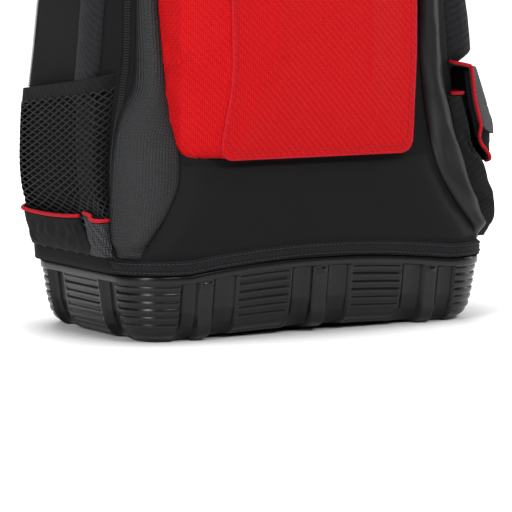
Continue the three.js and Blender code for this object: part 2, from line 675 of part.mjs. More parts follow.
function meshPocket() {
  let net = meshSheet(NET_THICKNESS);
  const start = TOOL_POCKET_TOP + 6;
  for (let row = 0; row < NET_ROWS; row++) {
    const shift = row % 2 ? 0.5 : 0;
    for (let column = 0; column < NET_COLUMNS - (row % 2); column++) {
      const v = 0.1 + 0.8 * (column + 0.5 + shift) / NET_COLUMNS;
      const z = lerp(start, meshTopAt(v) - 6, (row + 0.5) / NET_ROWS);
      const { inner } = meshPlace(z, v, 0, NET_THICKNESS);
      const pitch = (MESH_POCKET_TOP - start) / NET_ROWS;
      const hole = new THREE.CylinderGeometry(0.42 * pitch, 0.42 * pitch, 3 * pitch, 4);
      hole.scale(1.1, 1, 1.15);
      hole.rotateZ(Math.PI / 2);
      hole.translate(inner.x, inner.y, inner.z);
      net = net.subtract(toSolid(bare(hole)));
    }
  }
  return toGeometry(net);
}

function meshBand() {
  return skin(1, MESH_STEPS, (u, v) => meshPlace(meshTopAt(v) + GAP + MESH_BAND_HEIGHT * u, v, 0, CLOTH));
}

// A tool sleeve on the foot of the mesh pocket, between two places across it, open at the top.
function toolSleeve(from, to) {
  return skin(4, 6, (u, v) => {
    const across = lerp(from, to, v);
    const z = lerp(sideFloor + 1, TOOL_POCKET_TOP, u);
    const swell = TOOL_POCKET_DEPTH * Math.sqrt(Math.sin(Math.PI * v) * u);
    return meshPlace(z, across, NET_THICKNESS / standOff(across) + 2 * GAP + swell, CLOTH);
  });
}

function tubeAlong(points, diameter, sides, steps) {
  const section = new THREE.Shape();
  for (let k = 0; k < sides; k++) {
    const angle = k / sides * 2 * Math.PI;
    section[k ? "lineTo" : "moveTo"](diameter / 2 * Math.cos(angle), diameter / 2 * Math.sin(angle));
  }
  const extrudePath = new THREE.CatmullRomCurve3(points);
  const tube = new THREE.ExtrudeGeometry(section, { extrudePath, steps, bevelEnabled: false });
  return bare(tube);
}

// Red piping along a sleeve's top edge.
function sleevePiping(from, to) {
  const points = [];
  for (let k = 0; k <= 6; k++) {
    const v = 0.03 + 0.94 * k / 6;
    const across = lerp(from, to, v);
    const swell = TOOL_POCKET_DEPTH * Math.sqrt(Math.sin(Math.PI * v));
    const lift = NET_THICKNESS / standOff(across) + 2 * GAP + swell;
    const { inner, outer } = meshPlace(TOOL_POCKET_TOP + PIPING / 2 + GAP, across, lift, CLOTH);
    points.push(inner.lerp(outer, 0.5));
  }
  return tubeAlong(points, PIPING, 6, 12);
}

// The right side's pockets stand off the body. Each row gives a height share and how far the cloth stands off.
const LOWER_SWELL = [
  { rise: 0.0, off: 0.3 },
  { rise: 0.08, off: 0.84 },
  { rise: 0.25, off: 1.0 },
  { rise: 0.5, off: 0.92 },
  { rise: 0.62, off: 0.62 },
  { rise: 1.0, off: 0.36 },
];
const UPPER_SWELL = [
  { rise: 0.0, off: 0.05 },
  { rise: 0.12, off: 0.32 },
  { rise: 0.38, off: 0.5 },
  { rise: 0.66, off: 0.38 },
  { rise: 1.0, off: 0.2 },
  { rise: 1.11, off: 0.17 },
];
const UPPER_ROWS = UPPER_SWELL.length - 2;
const FLAP_ROW = 2;
const POCKET_REAR = SIDE_START + 0.1;
const boxed = (v) => Math.min(1, Math.sin(Math.PI * clamp(v, 0, 1)) * 3.2) ** 0.7;

function lowerOff(z) {
  const rise = (z - sideFloor) / (LOWER_POCKET_TOP - sideFloor);
  return LOWER_POCKET_DEPTH * read(LOWER_SWELL, "rise", rise, "off");
}

function lowerPlace(z, v, extra, thickness) {
  const station = lerp(POCKET_REAR, pocketFront(z), v);
  const off = 2 * GAP + (BAND_BULGE * 0.2 + lowerOff(z)) * boxed(v) + extra;
  return {
    inner: onBody(levelOf(z), station, 1, off),
    outer: onBody(levelOf(z), station, 1, off + thickness),
  };
}

function lowerPocket(thickness) {
  return skin(LOWER_SWELL.length - 1, 10, (u, v) => {
    const { rise } = LOWER_SWELL[Math.round(u * (LOWER_SWELL.length - 1))];
    return lowerPlace(lerp(sideFloor, LOWER_POCKET_TOP, rise), v, 0, thickness);
  });
}

function lowerBinding(diameter) {
  const points = [];
  for (let k = 0; k <= 10; k++) {
    const { inner, outer } = lowerPlace(LOWER_POCKET_TOP + PIPING / 2 + GAP, 0.02 + 0.096 * k, 0, CLOTH);
    points.push(inner.lerp(outer, 0.5));
  }
  return tubeAlong(points, diameter, 6, 12);
}

const UPPER_REAR = SIDE_START + 0.6;
const UPPER_FRONT = BAND_FRONT + 0.25;

function upperPlace(z, v, extra, thickness) {
  const station = lerp(UPPER_REAR, UPPER_FRONT, v);
  const rise = (z - UPPER_POCKET_BOTTOM) / (UPPER_POCKET_TOP - UPPER_POCKET_BOTTOM);
  const across = (station - POCKET_REAR) / (pocketFront(z) - POCKET_REAR);
  const under = lowerOff(Math.min(z, LOWER_POCKET_TOP)) * boxed(across);
  const over = BAND_BULGE * 0.2 + under + CLOTH + GAP;
  const off = 2 * GAP + over + UPPER_POCKET_DEPTH * read(UPPER_SWELL, "rise", rise, "off") * boxed(v) + extra;
  return {
    inner: onBody(levelOf(z), station, 1, off),
    outer: onBody(levelOf(z), station, 1, off + thickness),
  };
}

const upperHeight = (row) => lerp(UPPER_POCKET_BOTTOM, UPPER_POCKET_TOP, UPPER_SWELL[row].rise);

function upperPocket(thickness) {
  return skin(UPPER_ROWS, 8, (u, v) => upperPlace(upperHeight(Math.round(u * UPPER_ROWS)), v, 0, thickness));
}

// The flap lies on the pocket's slope, over its mouth.
function upperFlap() {
  const rows = UPPER_SWELL.length - 1 - FLAP_ROW;
  return skin(rows, 8, (u, v) => (
    upperPlace(upperHeight(FLAP_ROW + Math.round(u * rows)), v, CLOTH + GAP, FLAP_THICKNESS)
  ));
}

function flapPiping() {
  const points = [];
  for (let row = FLAP_ROW; row < UPPER_SWELL.length; row++) {
    const { inner, outer } = upperPlace(upperHeight(row), 1, CLOTH + GAP, FLAP_THICKNESS);
    points.push(inner.lerp(outer, 0.5).add(new THREE.Vector3(0, -FLAP_THICKNESS, 0)));
  }
  return tubeAlong(points, PIPING, 6, 10);
}

// A flat piece with rounded edges along a path in space, kept level across.
function flatStrap(points, width, thickness, steps, level = new THREE.Vector3(1, 0, 0)) {
  const curve = new THREE.CatmullRomCurve3(points);
  const [w, t] = [width / 2, thickness / 2];
  const edge = Math.min(t * 0.8, w * 0.3);
  const section = [
    [w - edge, -t], [w, -t + edge], [w, t - edge], [w - edge, t],
    [edge - w, t], [-w, t - edge], [-w, edge - t], [edge - w, -t],
  ].map(([x, y]) => new THREE.Vector2(x, y));
  const across = new THREE.Vector3();
  const sections = [];
  for (let k = 0; k <= steps; k++) {
    const along = curve.getTangent(k / steps);
    const centre = curve.getPoint(k / steps);
    across.copy(level).addScaledVector(along, -along.dot(level)).normalize();
    const out = along.clone().cross(across);
    sections.push(section.map((p) => (
      centre.clone().addScaledVector(across, p.x).addScaledVector(out, p.y)
    )));
  }
  return loft(sections, section);
}

// A pad with a crowned outer face, as a block with rounded sides, standing on the back.
function backPad(centreX, bottom, top, width) {
  const rear = HALF_DEPTH * Math.max(...BODY_ROWS.map((row) => row.rear)) + GAP;
  const levels = [
    { depth: -0.7, shrink: 2 },
    { depth: 0.5, shrink: 0 },
    { depth: 1, shrink: 7 },
  ];
  const radius = 22;
  const sections = levels.map(({ depth, shrink }) => {
    const points = [];
    for (let k = 0; k < 16; k++) {
      const angle = (Math.floor(k / 4) + (k % 4) / 3) * Math.PI / 2;
      const [c, s] = [Math.cos(angle), Math.sin(angle)];
      const [sx, sz] = [[1, 1], [-1, 1], [-1, -1], [1, -1]][Math.floor(k / 4)];
      const x = centreX + sx * (width / 2 - radius) + (radius - shrink) * c;
      const z = (sz > 0 ? top - radius : bottom + radius) + (radius - shrink) * s;
      points.push(new THREE.Vector3(x, rear + depth * PAD_THICKNESS, z));
    }
    return points;
  });
  return loft(sections, sections[0].map((p) => new THREE.Vector2(p.x, p.z)));
}

// The ladder lock: a plastic plate with two slots for webbing.
const SLOT_HEIGHT = 3.5;

function ladderLock(centre) {
  const plate = new THREE.Shape();
  const [w, h] = [WEBBING_WIDTH / 2 + 6, LOCK_HEIGHT / 2];
  plate.moveTo(-w, -h);
  plate.lineTo(w, -h);
  plate.lineTo(w, h);
  plate.lineTo(-w, h);
  for (const z of [-LOCK_HEIGHT / 5, LOCK_HEIGHT / 5]) {
    const slot = new THREE.Path();
    const half = WEBBING_WIDTH / 2 + 1.5;
    slot.moveTo(-half, z - SLOT_HEIGHT / 2);
    slot.lineTo(half, z - SLOT_HEIGHT / 2);
    slot.lineTo(half, z + SLOT_HEIGHT / 2);
    slot.lineTo(-half, z + SLOT_HEIGHT / 2);
    plate.holes.push(slot);
  }
  const body = new THREE.ExtrudeGeometry(plate, { depth: LOCK_THICKNESS, bevelEnabled: false });
  body.rotateX(Math.PI / 2);
  body.translate(centre.x, centre.y + LOCK_THICKNESS / 2, centre.z);
  return bare(body);
}

// A zip slider on a zip that runs up the body: its flat faces lie along the zip.
function zipSlider(level, station, side, lift) {
  const shape = new THREE.Shape();
  const [w, h] = [SLIDER_LENGTH * 0.35, SLIDER_LENGTH / 2];
  shape.moveTo(-w * 0.6, -h);
  shape.lineTo(w * 0.6, -h);
  shape.lineTo(w, h * 0.4);
  shape.lineTo(w * 0.5, h);
  shape.lineTo(-w * 0.5, h);
  shape.lineTo(-w, h * 0.4);
  const body = new THREE.ExtrudeGeometry(shape, { depth: SLIDER_LENGTH / 3, bevelEnabled: false });
  const seat = onBody(level, station, side, lift);
  const up = onBody(level + 0.02, station, side, lift).sub(seat).normalize();
  const out = onBody(level, station, side, lift + 1).sub(seat);
  out.addScaledVector(up, -out.dot(up)).normalize();
  body.applyMatrix4(new THREE.Matrix4().makeBasis(up.clone().cross(out), up, out).setPosition(seat));
  return bare(body);
}

// Base tray and the binding that joins it to the fabric
add("base_tray", baseTray(), POLYPROPYLENE);

function binding() {
  const ring = [];
  const half = [];
  for (let station = 0; station <= FRONT_MIDDLE; station++) half.push({ station, side: 1 });
  const mirrored = half.slice(1, -1).reverse().map(({ station }) => ({ station, side: -1 }));
  for (const { station, side } of half.concat(mirrored)) {
    const foot = onBody(0, station, side, 0);
    const top = BASE_HEIGHT + rimRise(foot.x, foot.y) + BINDING_HEIGHT;
    const [inside, outside] = [GAP, GAP + BINDING_THICKNESS];
    ring.push([
      onBody(0, station, side, inside),
      onBody(0, station, side, outside),
      onBody(levelOf(top), station, side, outside),
      onBody(levelOf(top), station, side, inside),
    ]);
  }
  return loft(ring, null, true);
}

const rim = rimKeepOut();
add("base_binding", toGeometry(toSolid(binding()).subtract(keepOut).subtract(rim)), WOVEN_NYLON);

// Body shell and what is sewn to it
const shell = bodySolid(0, 0).subtract(bodySolid(-CLOTH, BASE_HEIGHT / 2)).subtract(rim);
add("main_shell", toGeometry(shell), BLACK_POLYESTER);

const BAND_SECTION = [
  { across: 0, lift: 0.25 },
  { across: 0.25, lift: 1 },
  { across: 0.75, lift: 1 },
  { across: 1, lift: 0.25 },
];
// The band lies flatter inside the side pockets. Above them the right one stands out further than the left one.
const meshEdge = levelOf(MESH_POCKET_TOP);
const flapEdge = levelOf(upperHeight(UPPER_SWELL.length - 1));

function bandBulge(level, side) {
  if (level < (side < 0 ? meshEdge : flapEdge) + 0.005) return BAND_BULGE * 0.5;
  if (side < 0 || level > 1) return BAND_BULGE;
  return lerp(BAND_BULGE_RIGHT, BAND_BULGE, clamp((level - 0.7) / 0.3, 0, 1));
}

const bandColumns = BAND_SECTION.map(({ across, lift }) => ({
  station: () => lerp(BAND_REAR, BAND_FRONT - 0.03, across),
  lift: (level, side) => lift * bandBulge(level, side),
}));
const bandLevels = [meshEdge, flapEdge].flatMap((edge) => [edge + 0.002, edge + 0.008]);
const gusset = hoop(TOOL_POCKET_TOP - 4, bandColumns, { extraLevels: bandLevels });
add("woven_gusset", gusset, WOVEN_NYLON);
add("rear_zip", hoop(MESH_POCKET_TOP + MESH_BAND_HEIGHT + 2, zipColumns(REAR_EDGE + 1)), ZIP_TAPE);
add("front_zip", seated(hoop(TOOL_POCKET_TOP + 28, zipColumns(ZIP), { root: ROOT })), ZIP_TAPE);

add("corner_strip_left", seated(cornerStrip(-1)), MOULDED_FOAM);
add("corner_strip_right", seated(cornerStrip(1)), MOULDED_FOAM);
const stripKeepOut = [-1, 1].map((side) => toSolid(cornerStrip(side, 2 * GAP)));
add("lower_front_panel", seated(lowerFrontPanel(), ...stripKeepOut), BLACK_POLYESTER);

// Red front pocket
const pocketWalls = toGeometry(pocketBody(0).subtract(pocketBody(CLOTH)));
add("front_pocket", seated(pocketWalls, ...stripKeepOut), RED_POLYESTER);

// Left side: mesh pocket and tool sleeves
const SLEEVES = [
  { name: "rear", from: 0.03, to: 0.52 },
  { name: "front", from: 0.56, to: 0.97 },
];
const netKeepOut = meshSheet(NET_THICKNESS + GAP);
add("mesh_pocket", meshPocket(), NET);
add("mesh_pocket_band", meshBand(), WOVEN_NYLON);
for (const { name, from, to } of SLEEVES) {
  add(`tool_sleeve_${name}`, seated(toolSleeve(from, to), netKeepOut), BLACK_POLYESTER);
  add(`tool_piping_${name}`, seated(sleevePiping(from, to), netKeepOut), RED_PIPING);
}

// Right side: two tiers of pockets
const lowerKeepOut = toSolid(lowerPocket(CLOTH + GAP));
const bindingKeepOut = toSolid(lowerBinding(PIPING + 2 * GAP));
const upperKeepOut = toSolid(upperPocket(CLOTH + GAP));
add("lower_side_pocket", lowerPocket(CLOTH), WOVEN_NYLON);
add("lower_side_binding", lowerBinding(PIPING), RED_PIPING);
add("upper_side_pocket", seated(upperPocket(CLOTH), lowerKeepOut, bindingKeepOut), BLACK_POLYESTER);
add("upper_side_flap", upperFlap(), GREY_FLAP);
add("upper_side_piping", seated(flapPiping(), upperKeepOut, toSolid(upperFlap())), RED_PIPING);

// Back: pads, shoulder straps and the haul handle
const PADS = [
  { name: "back_pad_left", x: -PAD_SPREAD, bottom: PAD_BOTTOM, top: PAD_TOP, width: PAD_WIDTH },
  { name: "back_pad_right", x: PAD_SPREAD, bottom: PAD_BOTTOM, top: PAD_TOP, width: PAD_WIDTH },
  { name: "lumbar_pad", x: 0, bottom: LUMBAR_BOTTOM, top: LUMBAR_TOP, width: LUMBAR_WIDTH },
];
for (const { name, x, bottom, top, width } of PADS) {
  add(name, seated(backPad(x, bottom, top, width)), BLACK_POLYESTER);
}

const STRAP_DROP = [
  { name: "left", side: -1 },
  { name: "right", side: 1 },
];
const STRAP_TOP = PACK_HEIGHT - 48;
const STRAP_X = PAD_WIDTH * 0.55;
const strapY = HALF_DEPTH * 1.05 + PAD_THICKNESS + STRAP_THICKNESS / 2 + 8;
for (const { name, side } of STRAP_DROP) {
  const at = (x, y, z) => new THREE.Vector3(side * x, y, z);
  const end = STRAP_TOP - STRAP_LENGTH;
  const strap = flatStrap([
    at(STRAP_X, HALF_DEPTH * 0.84, STRAP_TOP),
    at(STRAP_X + 2, strapY - 6, STRAP_TOP - 4),
    at(STRAP_X + 12, strapY, STRAP_TOP - 40),
    at(STRAP_X + 32, strapY + 2, STRAP_TOP - 0.4 * STRAP_LENGTH),
    at(STRAP_X + 54, strapY + 2, STRAP_TOP - 0.7 * STRAP_LENGTH),
    at(STRAP_X + 60, strapY, STRAP_TOP - 0.92 * STRAP_LENGTH),
    at(STRAP_X + 60, strapY, end),
  ], STRAP_WIDTH, STRAP_THICKNESS, 14);
  add(`shoulder_strap_${name}`, seated(strap), BLACK_POLYESTER);
  const lock = at(STRAP_X + 60, strapY, end - LOCK_HEIGHT / 2 - GAP);
  add(`ladder_lock_${name}`, ladderLock(lock), POLYPROPYLENE);
  const low = lock.z - LOCK_HEIGHT / 2 - GAP;
  const foot = BASE_HEIGHT + BINDING_HEIGHT + WEBBING_WIDTH;
  const webbing = flatStrap([
    at(STRAP_X + 60, strapY, low),
    at(STRAP_X + 60, strapY, lerp(low, foot, 0.15)),
    at(STRAP_X + 66, strapY - 2, lerp(low, foot, 0.4)),
    at(STRAP_X + 78, strapY - 8, lerp(low, foot, 0.75)),
    at(STRAP_X + 84, HALF_DEPTH * 0.86, foot),
  ], WEBBING_WIDTH, WEBBING_THICKNESS, 8);
  add(`strap_webbing_${name}`, seated(webbing), WOVEN_NYLON);
}

const handleY = HALF_DEPTH * 0.57;
const handle = flatStrap([
  new THREE.Vector3(-HANDLE_SPAN / 2, handleY, PACK_HEIGHT - 16),
  new THREE.Vector3(-HANDLE_SPAN * 0.44, handleY, PACK_HEIGHT + HANDLE_RISE * 0.55),
  new THREE.Vector3(0, handleY, PACK_HEIGHT + HANDLE_RISE),
  new THREE.Vector3(HANDLE_SPAN * 0.44, handleY, PACK_HEIGHT + HANDLE_RISE * 0.55),
  new THREE.Vector3(HANDLE_SPAN / 2, handleY, PACK_HEIGHT - 16),
], HANDLE_WIDTH, HANDLE_THICKNESS, 12, new THREE.Vector3(0, 1, 0));
add("haul_handle", seated(handle), WOVEN_NYLON);

// Zip sliders, and the zip over the top of the red pocket
const sliderLift = 4 * GAP + ZIP_THICKNESS;
add("front_zip_slider", zipSlider(0.9, ZIP + 0.5, -1, sliderLift), DARK_METAL);
add("rear_zip_slider", zipSlider(0.9, REAR_EDGE + 1.5, -1, sliderLift), DARK_METAL);

const zipBand = new THREE.BoxGeometry(BASE_WIDTH, 9, RED_POCKET_TOP - RED_POCKET_BOTTOM);
zipBand.translate(0, -RED_POCKET_FRONT * 0.78, RED_POCKET_TOP - POCKET_TOP_CORNER * 2 + zipBand.parameters.depth / 2);
const pocketZip = pocketBody(-GAP - ZIP_THICKNESS).subtract(pocketBody(-GAP)).intersect(toSolid(bare(zipBand)));
add("front_pocket_zip", toGeometry(pocketZip), ZIP_TAPE);

export default pack;
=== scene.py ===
# %% [markdown]
# # A tool backpack on a moulded base
#
# The real pack is sewn polyester and nylon over a stiff board, standing in a ribbed tray of moulded polypropylene.
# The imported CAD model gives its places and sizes. This lesson dresses it: the tray is shaped as one dense wall, the
# cloth is laid on the same body form as the CAD and left to swell in a cloth simulation, and nets, zips and
# stitches are repeated by Geometry Nodes. Everything is in metres, with Z up and the front looking towards -Y.

# %% Tools and the frame
import math

import bmesh
import bpy
import numpy as np
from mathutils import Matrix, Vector, noise


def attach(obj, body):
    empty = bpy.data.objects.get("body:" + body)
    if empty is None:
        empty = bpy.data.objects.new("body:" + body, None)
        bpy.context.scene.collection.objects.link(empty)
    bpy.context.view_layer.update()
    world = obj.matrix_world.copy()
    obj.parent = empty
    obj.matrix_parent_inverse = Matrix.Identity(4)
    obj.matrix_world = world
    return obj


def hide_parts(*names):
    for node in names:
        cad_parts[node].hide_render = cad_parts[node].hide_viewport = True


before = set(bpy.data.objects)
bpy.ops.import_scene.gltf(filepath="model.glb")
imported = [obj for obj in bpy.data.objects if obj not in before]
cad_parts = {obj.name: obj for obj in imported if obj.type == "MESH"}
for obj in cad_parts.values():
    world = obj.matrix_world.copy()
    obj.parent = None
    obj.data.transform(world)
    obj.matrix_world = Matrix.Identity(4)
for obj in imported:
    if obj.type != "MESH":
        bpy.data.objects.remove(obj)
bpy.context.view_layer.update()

# %% [markdown]
# ## Sizes
#
# These are the CAD part's own driving sizes, in metres, so that each dressed piece lies where its solid does.

# %% Driving sizes
HALF_WIDTH, HALF_DEPTH, CORNER = 0.1875, 0.109, 0.044
BASE_HEIGHT, FLANGE_BOTTOM = 0.060, 0.053
RIM_ARCH, UNDER_ARCH, ARCH_REACH = 0.009, 0.005, 0.72 * 0.1875
POST_PITCH, POST_WIDTH, BLOCK_WIDTH, SIDE_BLOCK_WIDTH = 0.117, 0.013, 0.056, 0.068
RIB_COUNT, RIB_DEPTH = 7, 0.0022
SHOULDER_HEIGHT, PACK_HEIGHT = 0.390, 0.493
GAP, CLOTH = 0.00035, 0.0025
FLOOR = BASE_HEIGHT + GAP
BINDING_HEIGHT = 0.0125
BAND_WIDTH, ZIP_LIP = 0.040, 0.006
ARCH_POWER = 2.5
PIPING = 0.0034

# Stations round half of the body, from the middle of the back to the middle of the front.
REAR_EDGE, SIDE_START, BAND_REAR, BAND_FRONT, ZIP, STRIP_OUTER, STRIP_INNER, FRONT_MIDDLE = 2, 4, 6, 7, 8, 9, 10, 13
RING = 2 * FRONT_MIDDLE

# %% [markdown]
# ## Small helpers
#
# A piece here is nearly always a grid of points in rows and columns. The helper turns a grid into a mesh and writes
# the distances along its rows and columns, in metres, into a UV map named "cloth". A weave that reads that map keeps
# its thread size and turns with the cloth, which a pattern in space can't do.

# %% Grids, skins and modifiers
def make_piece(name, points, faces, finish, uvs=None):
    mesh = bpy.data.meshes.new(name)
    mesh.from_pydata([tuple(p) for p in np.asarray(points, float)], [], [tuple(f) for f in faces])
    if uvs is not None:
        layer = mesh.uv_layers.new(name="cloth")
        layer.data.foreach_set("uv", np.asarray(uvs, np.float32).ravel())
    mesh.materials.append(finish)
    mesh.shade_smooth()
    piece = bpy.data.objects.new(name, mesh)
    bpy.context.scene.collection.objects.link(piece)
    return piece


def run_lengths(grid, wrap):
    """Distances along each row from its middle, and along each column from its first row."""
    closed = np.concatenate([grid, grid[:, :1]], 1) if wrap else grid
    steps = np.linalg.norm(np.diff(closed, axis=1), axis=2)
    across = np.concatenate([np.zeros((len(grid), 1)), np.cumsum(steps, 1)], 1)
    across -= across[:, [across.shape[1] // 2]]
    rises = np.linalg.norm(np.diff(closed, axis=0), axis=2)
    along = np.concatenate([np.zeros((1, closed.shape[1])), np.cumsum(rises, 0)], 0)
    return across, along


def grid_piece(name, grid, finish, wrap=False, flip=False):
    """A mesh over a grid of points, with faces that run round it and its lengths in the cloth map."""
    rows, columns = grid.shape[:2]
    across, along = run_lengths(grid, wrap)
    faces, uvs = [], []
    for i in range(rows - 1):
        for j in range(columns if wrap else columns - 1):
            corners = [(i, j), (i, j + 1), (i + 1, j + 1), (i + 1, j)]
            if flip:
                corners.reverse()
            faces.append([a * columns + b % columns for a, b in corners])
            uvs.extend((across[a, b], along[a, b]) for a, b in corners)
    return make_piece(name, grid.reshape(-1, 3), faces, finish, uvs)


def bake_modifiers(piece):
    graph = bpy.context.evaluated_depsgraph_get()
    mesh = bpy.data.meshes.new_from_object(piece.evaluated_get(graph))
    piece.modifiers.clear()
    piece.data = mesh
    return piece


def thicken(piece, thickness, offset=-1.0, smooth=0):
    """Gives a sheet its real thickness, and rounds it with a subdivision if asked."""
    if smooth:
        rounding = piece.modifiers.new("rounding", "SUBSURF")
        rounding.levels = rounding.render_levels = smooth
    wall = piece.modifiers.new("wall", "SOLIDIFY")
    wall.thickness, wall.offset = thickness, offset
    return bake_modifiers(piece)


def weld_piece(piece, reach=1e-5):
    """Merges doubled points and turns all faces outwards."""
    work = bmesh.new()
    work.from_mesh(piece.data)
    bmesh.ops.remove_doubles(work, verts=work.verts, dist=reach)
    bmesh.ops.recalc_face_normals(work, faces=work.faces)
    work.to_mesh(piece.data)
    work.free()
    return piece


def flat_map(piece, first, second, finish):
    """Writes the cloth map of a piece that lost it, from two of its axes, and gives it its finish."""
    layer = piece.data.uv_layers.get("cloth") or piece.data.uv_layers.new(name="cloth")
    place = places_of(piece)
    corner = np.zeros(len(piece.data.loops), np.int32)
    piece.data.loops.foreach_get("vertex_index", corner)
    layer.data.foreach_set("uv", place[corner][:, [first, second]].astype(np.float32).ravel())
    piece.data.materials.clear()
    piece.data.materials.append(finish)
    piece.data.shade_smooth()


def places_of(piece):
    flat = np.zeros(len(piece.data.vertices) * 3, np.float32)
    piece.data.vertices.foreach_get("co", flat)
    return flat.reshape(-1, 3).astype(float)


def smoothstep(low, high, value):
    t = np.clip((np.asarray(value, float) - low) / (high - low), 0, 1)
    return t * t * (3 - 2 * t)


def unit(vectors):
    return vectors / np.maximum(np.linalg.norm(vectors, axis=-1, keepdims=True), 1e-12)


def grain(points, size, seed=0.0):
    """Smooth noise from -1 to 1 at each point, with bumps of a real size."""
    shape = points.shape[:-1]
    flat = points.reshape(-1, 3) / size + seed
    return np.array([noise.noise(Vector(p)) for p in flat]).reshape(shape)


# %% [markdown]
# ## Cloth under a little pressure
#
# Padded cloth swells between its seams and puckers along them. That could be sculpted, but a cloth simulation gives
# it for nothing: the seams are held, a slight pressure pushes from inside, and the cloth is cut a few per cent too
# large, so that it wrinkles. How far a point may move is capped, and the result is written back to the mesh.

# %% Letting cloth swell
def settle(piece, held, pressure=4.0, cap=0.006, spare=0.0, steps=20, stiffness=12.0):
    """Swells a piece for some frames. held is each point's hold, from 0, free, to 1, sewn down."""
    start = places_of(piece)
    held = np.broadcast_to(np.asarray(held, float), (len(start),))
    group = piece.vertex_groups.new(name="held")
    for weight in np.unique(held.round(2)):
        group.add([int(k) for k in np.flatnonzero(held.round(2) == weight)], float(weight), "REPLACE")
    cloth = piece.modifiers.new("cloth", "CLOTH")
    values = cloth.settings
    values.quality, values.mass, values.air_damping = 5, 0.15, 2.0
    values.tension_stiffness = values.compression_stiffness = stiffness
    values.shear_stiffness, values.bending_stiffness = stiffness / 2, 0.3
    values.use_pressure, values.uniform_pressure_force = True, pressure
    values.effector_weights.gravity = 0
    values.vertex_group_mass = "held"
    values.shrink_min = -spare
    cloth.point_cache.frame_start, cloth.point_cache.frame_end = 1, steps
    for frame_number in range(1, steps + 1):
        bpy.context.scene.frame_set(frame_number)
    swollen = bpy.data.meshes.new_from_object(piece.evaluated_get(bpy.context.evaluated_depsgraph_get()))
    ends = np.zeros(len(start) * 3, np.float32)
    swollen.vertices.foreach_get("co", ends)
    step = ends.reshape(-1, 3) - start
    far = np.linalg.norm(step, axis=1, keepdims=True)
    step *= np.minimum(1, cap / np.maximum(far, 1e-9)) * (1 - held[:, None])
    piece.modifiers.clear()
    piece.vertex_groups.clear()
    bpy.data.meshes.remove(swollen)
    bpy.context.scene.frame_set(1)
    piece.data.vertices.foreach_set("co", (start + step).astype(np.float32).ravel())
    piece.data.update()
    print(piece.name, "moved up to", round(float(np.linalg.norm(step, axis=1).max()) * 1000, 1), "mm")
    return piece


def edge_hold(rows, columns, reach=2):
    """Holds the outer rows and columns of a grid."""
    i, j = np.indices((rows, columns))
    inward = np.minimum(np.minimum(i, rows - 1 - i), np.minimum(j, columns - 1 - j))
    return np.clip(1 - (inward - reach + 1) / 2, 0, 1).ravel()


# %% [markdown]
# ## The camera and the light
#
# The photograph was taken from the front left, a little above the tray, with a long lens. The camera stands where a fit
# to the photograph's corners put it. The light is that of a white studio: a large soft lamp on each side, one above,
# and a pale surrounding, so that the black pieces show their forms by broad soft highlights.

# %% Camera, lamps and floor
AZIMUTH, ELEVATION, DISTANCE = math.radians(-30.7), math.radians(6.34), 2.946
TARGET = Vector((-0.0045, 0.0, 0.0594))

away = Vector((math.sin(AZIMUTH) * math.cos(ELEVATION), -math.cos(AZIMUTH) * math.cos(ELEVATION), math.sin(ELEVATION)))
camera = bpy.data.objects.new("camera", bpy.data.cameras.new("camera"))
camera.data.lens, camera.data.sensor_width = 225.6, 36.0
camera.location = TARGET + away * DISTANCE
camera.rotation_euler = (-away).to_track_quat("-Z", "Y").to_euler()
bpy.context.scene.collection.objects.link(camera)
bpy.context.scene.camera = camera


def lamp(name, place, aim, size, power):
    light = bpy.data.lights.new(name, "AREA")
    light.shape, light.size, light.size_y, light.energy = "RECTANGLE", size[0], size[1], power
    body = bpy.data.objects.new(name, light)
    body.location = place
    body.rotation_euler = (Vector(aim) - Vector(place)).to_track_quat("-Z", "Y").to_euler()
    bpy.context.scene.collection.objects.link(body)


lamp("lamp_left", (-1.9, -1.2, 1.2), (0, 0, 0.2), (0.6, 1.4), 26)
lamp("lamp_front", (0.2, -2.2, 1.9), (0, 0, 0.15), (1.4, 0.6), 24)
lamp("lamp_right", (2.1, -0.2, 0.9), (0, 0, 0.15), (0.7, 1.6), 9)
lamp("lamp_back", (0.9, 2.4, 1.5), (0, 0, 0.25), (1.4, 1.2), 30)
lamp("lamp_top", (0.0, 0.3, 2.2), (0, 0, 0.2), (1.6, 1.6), 27)

world = bpy.data.worlds.new("studio")
world.use_nodes = True
bpy.context.scene.world = world
bpy.context.scene.view_settings.view_transform = "Standard"
bpy.context.scene.view_settings.look = "Medium High Contrast"

# %% [markdown]
# ## Finishes
#
# Each material starts from the real stuff. One function turns a hex colour to linear, and one adds a node with its
# settings and links. The weaves are drawn from the cloth map: two families of threads pass over and under each other,
# and the height of the thread on top gives the bump and a painted shade, darker where the threads dip.

# %% Colour and node helpers
def colour(code):
    parts = [int(code[i:i + 2], 16) / 255 for i in (1, 3, 5)]
    return tuple(c / 12.92 if c <= 0.04045 else ((c + 0.055) / 1.055) ** 2.4 for c in parts) + (1.0,)


def node(tree, kind, sockets=None, **settings):
    """Adds a node. sockets maps an input's name or number to a value, or to the output that feeds it."""
    made = tree.nodes.new(kind)
    for key, value in settings.items():
        setattr(made, key, value)
    for key, value in (sockets or {}).items():
        if isinstance(value, bpy.types.NodeSocket):
            tree.links.new(value, made.inputs[key])
        else:
            made.inputs[key].default_value = value
    return made


# The camera sees white paper behind the pack, which lights the pack much less than it shows.
studio = world.node_tree
studio.nodes.clear()
dim = node(studio, "ShaderNodeBackground", {"Color": (1, 1, 1, 1), "Strength": 0.12})
paper = node(studio, "ShaderNodeBackground", {"Color": (1, 1, 1, 1)})
seen = node(studio, "ShaderNodeLightPath")
either = node(studio, "ShaderNodeMixShader", {0: seen.outputs["Is Camera Ray"], 1: dim.outputs[0], 2: paper.outputs[0]})
node(studio, "ShaderNodeOutputWorld", {"Surface": either.outputs[0]})


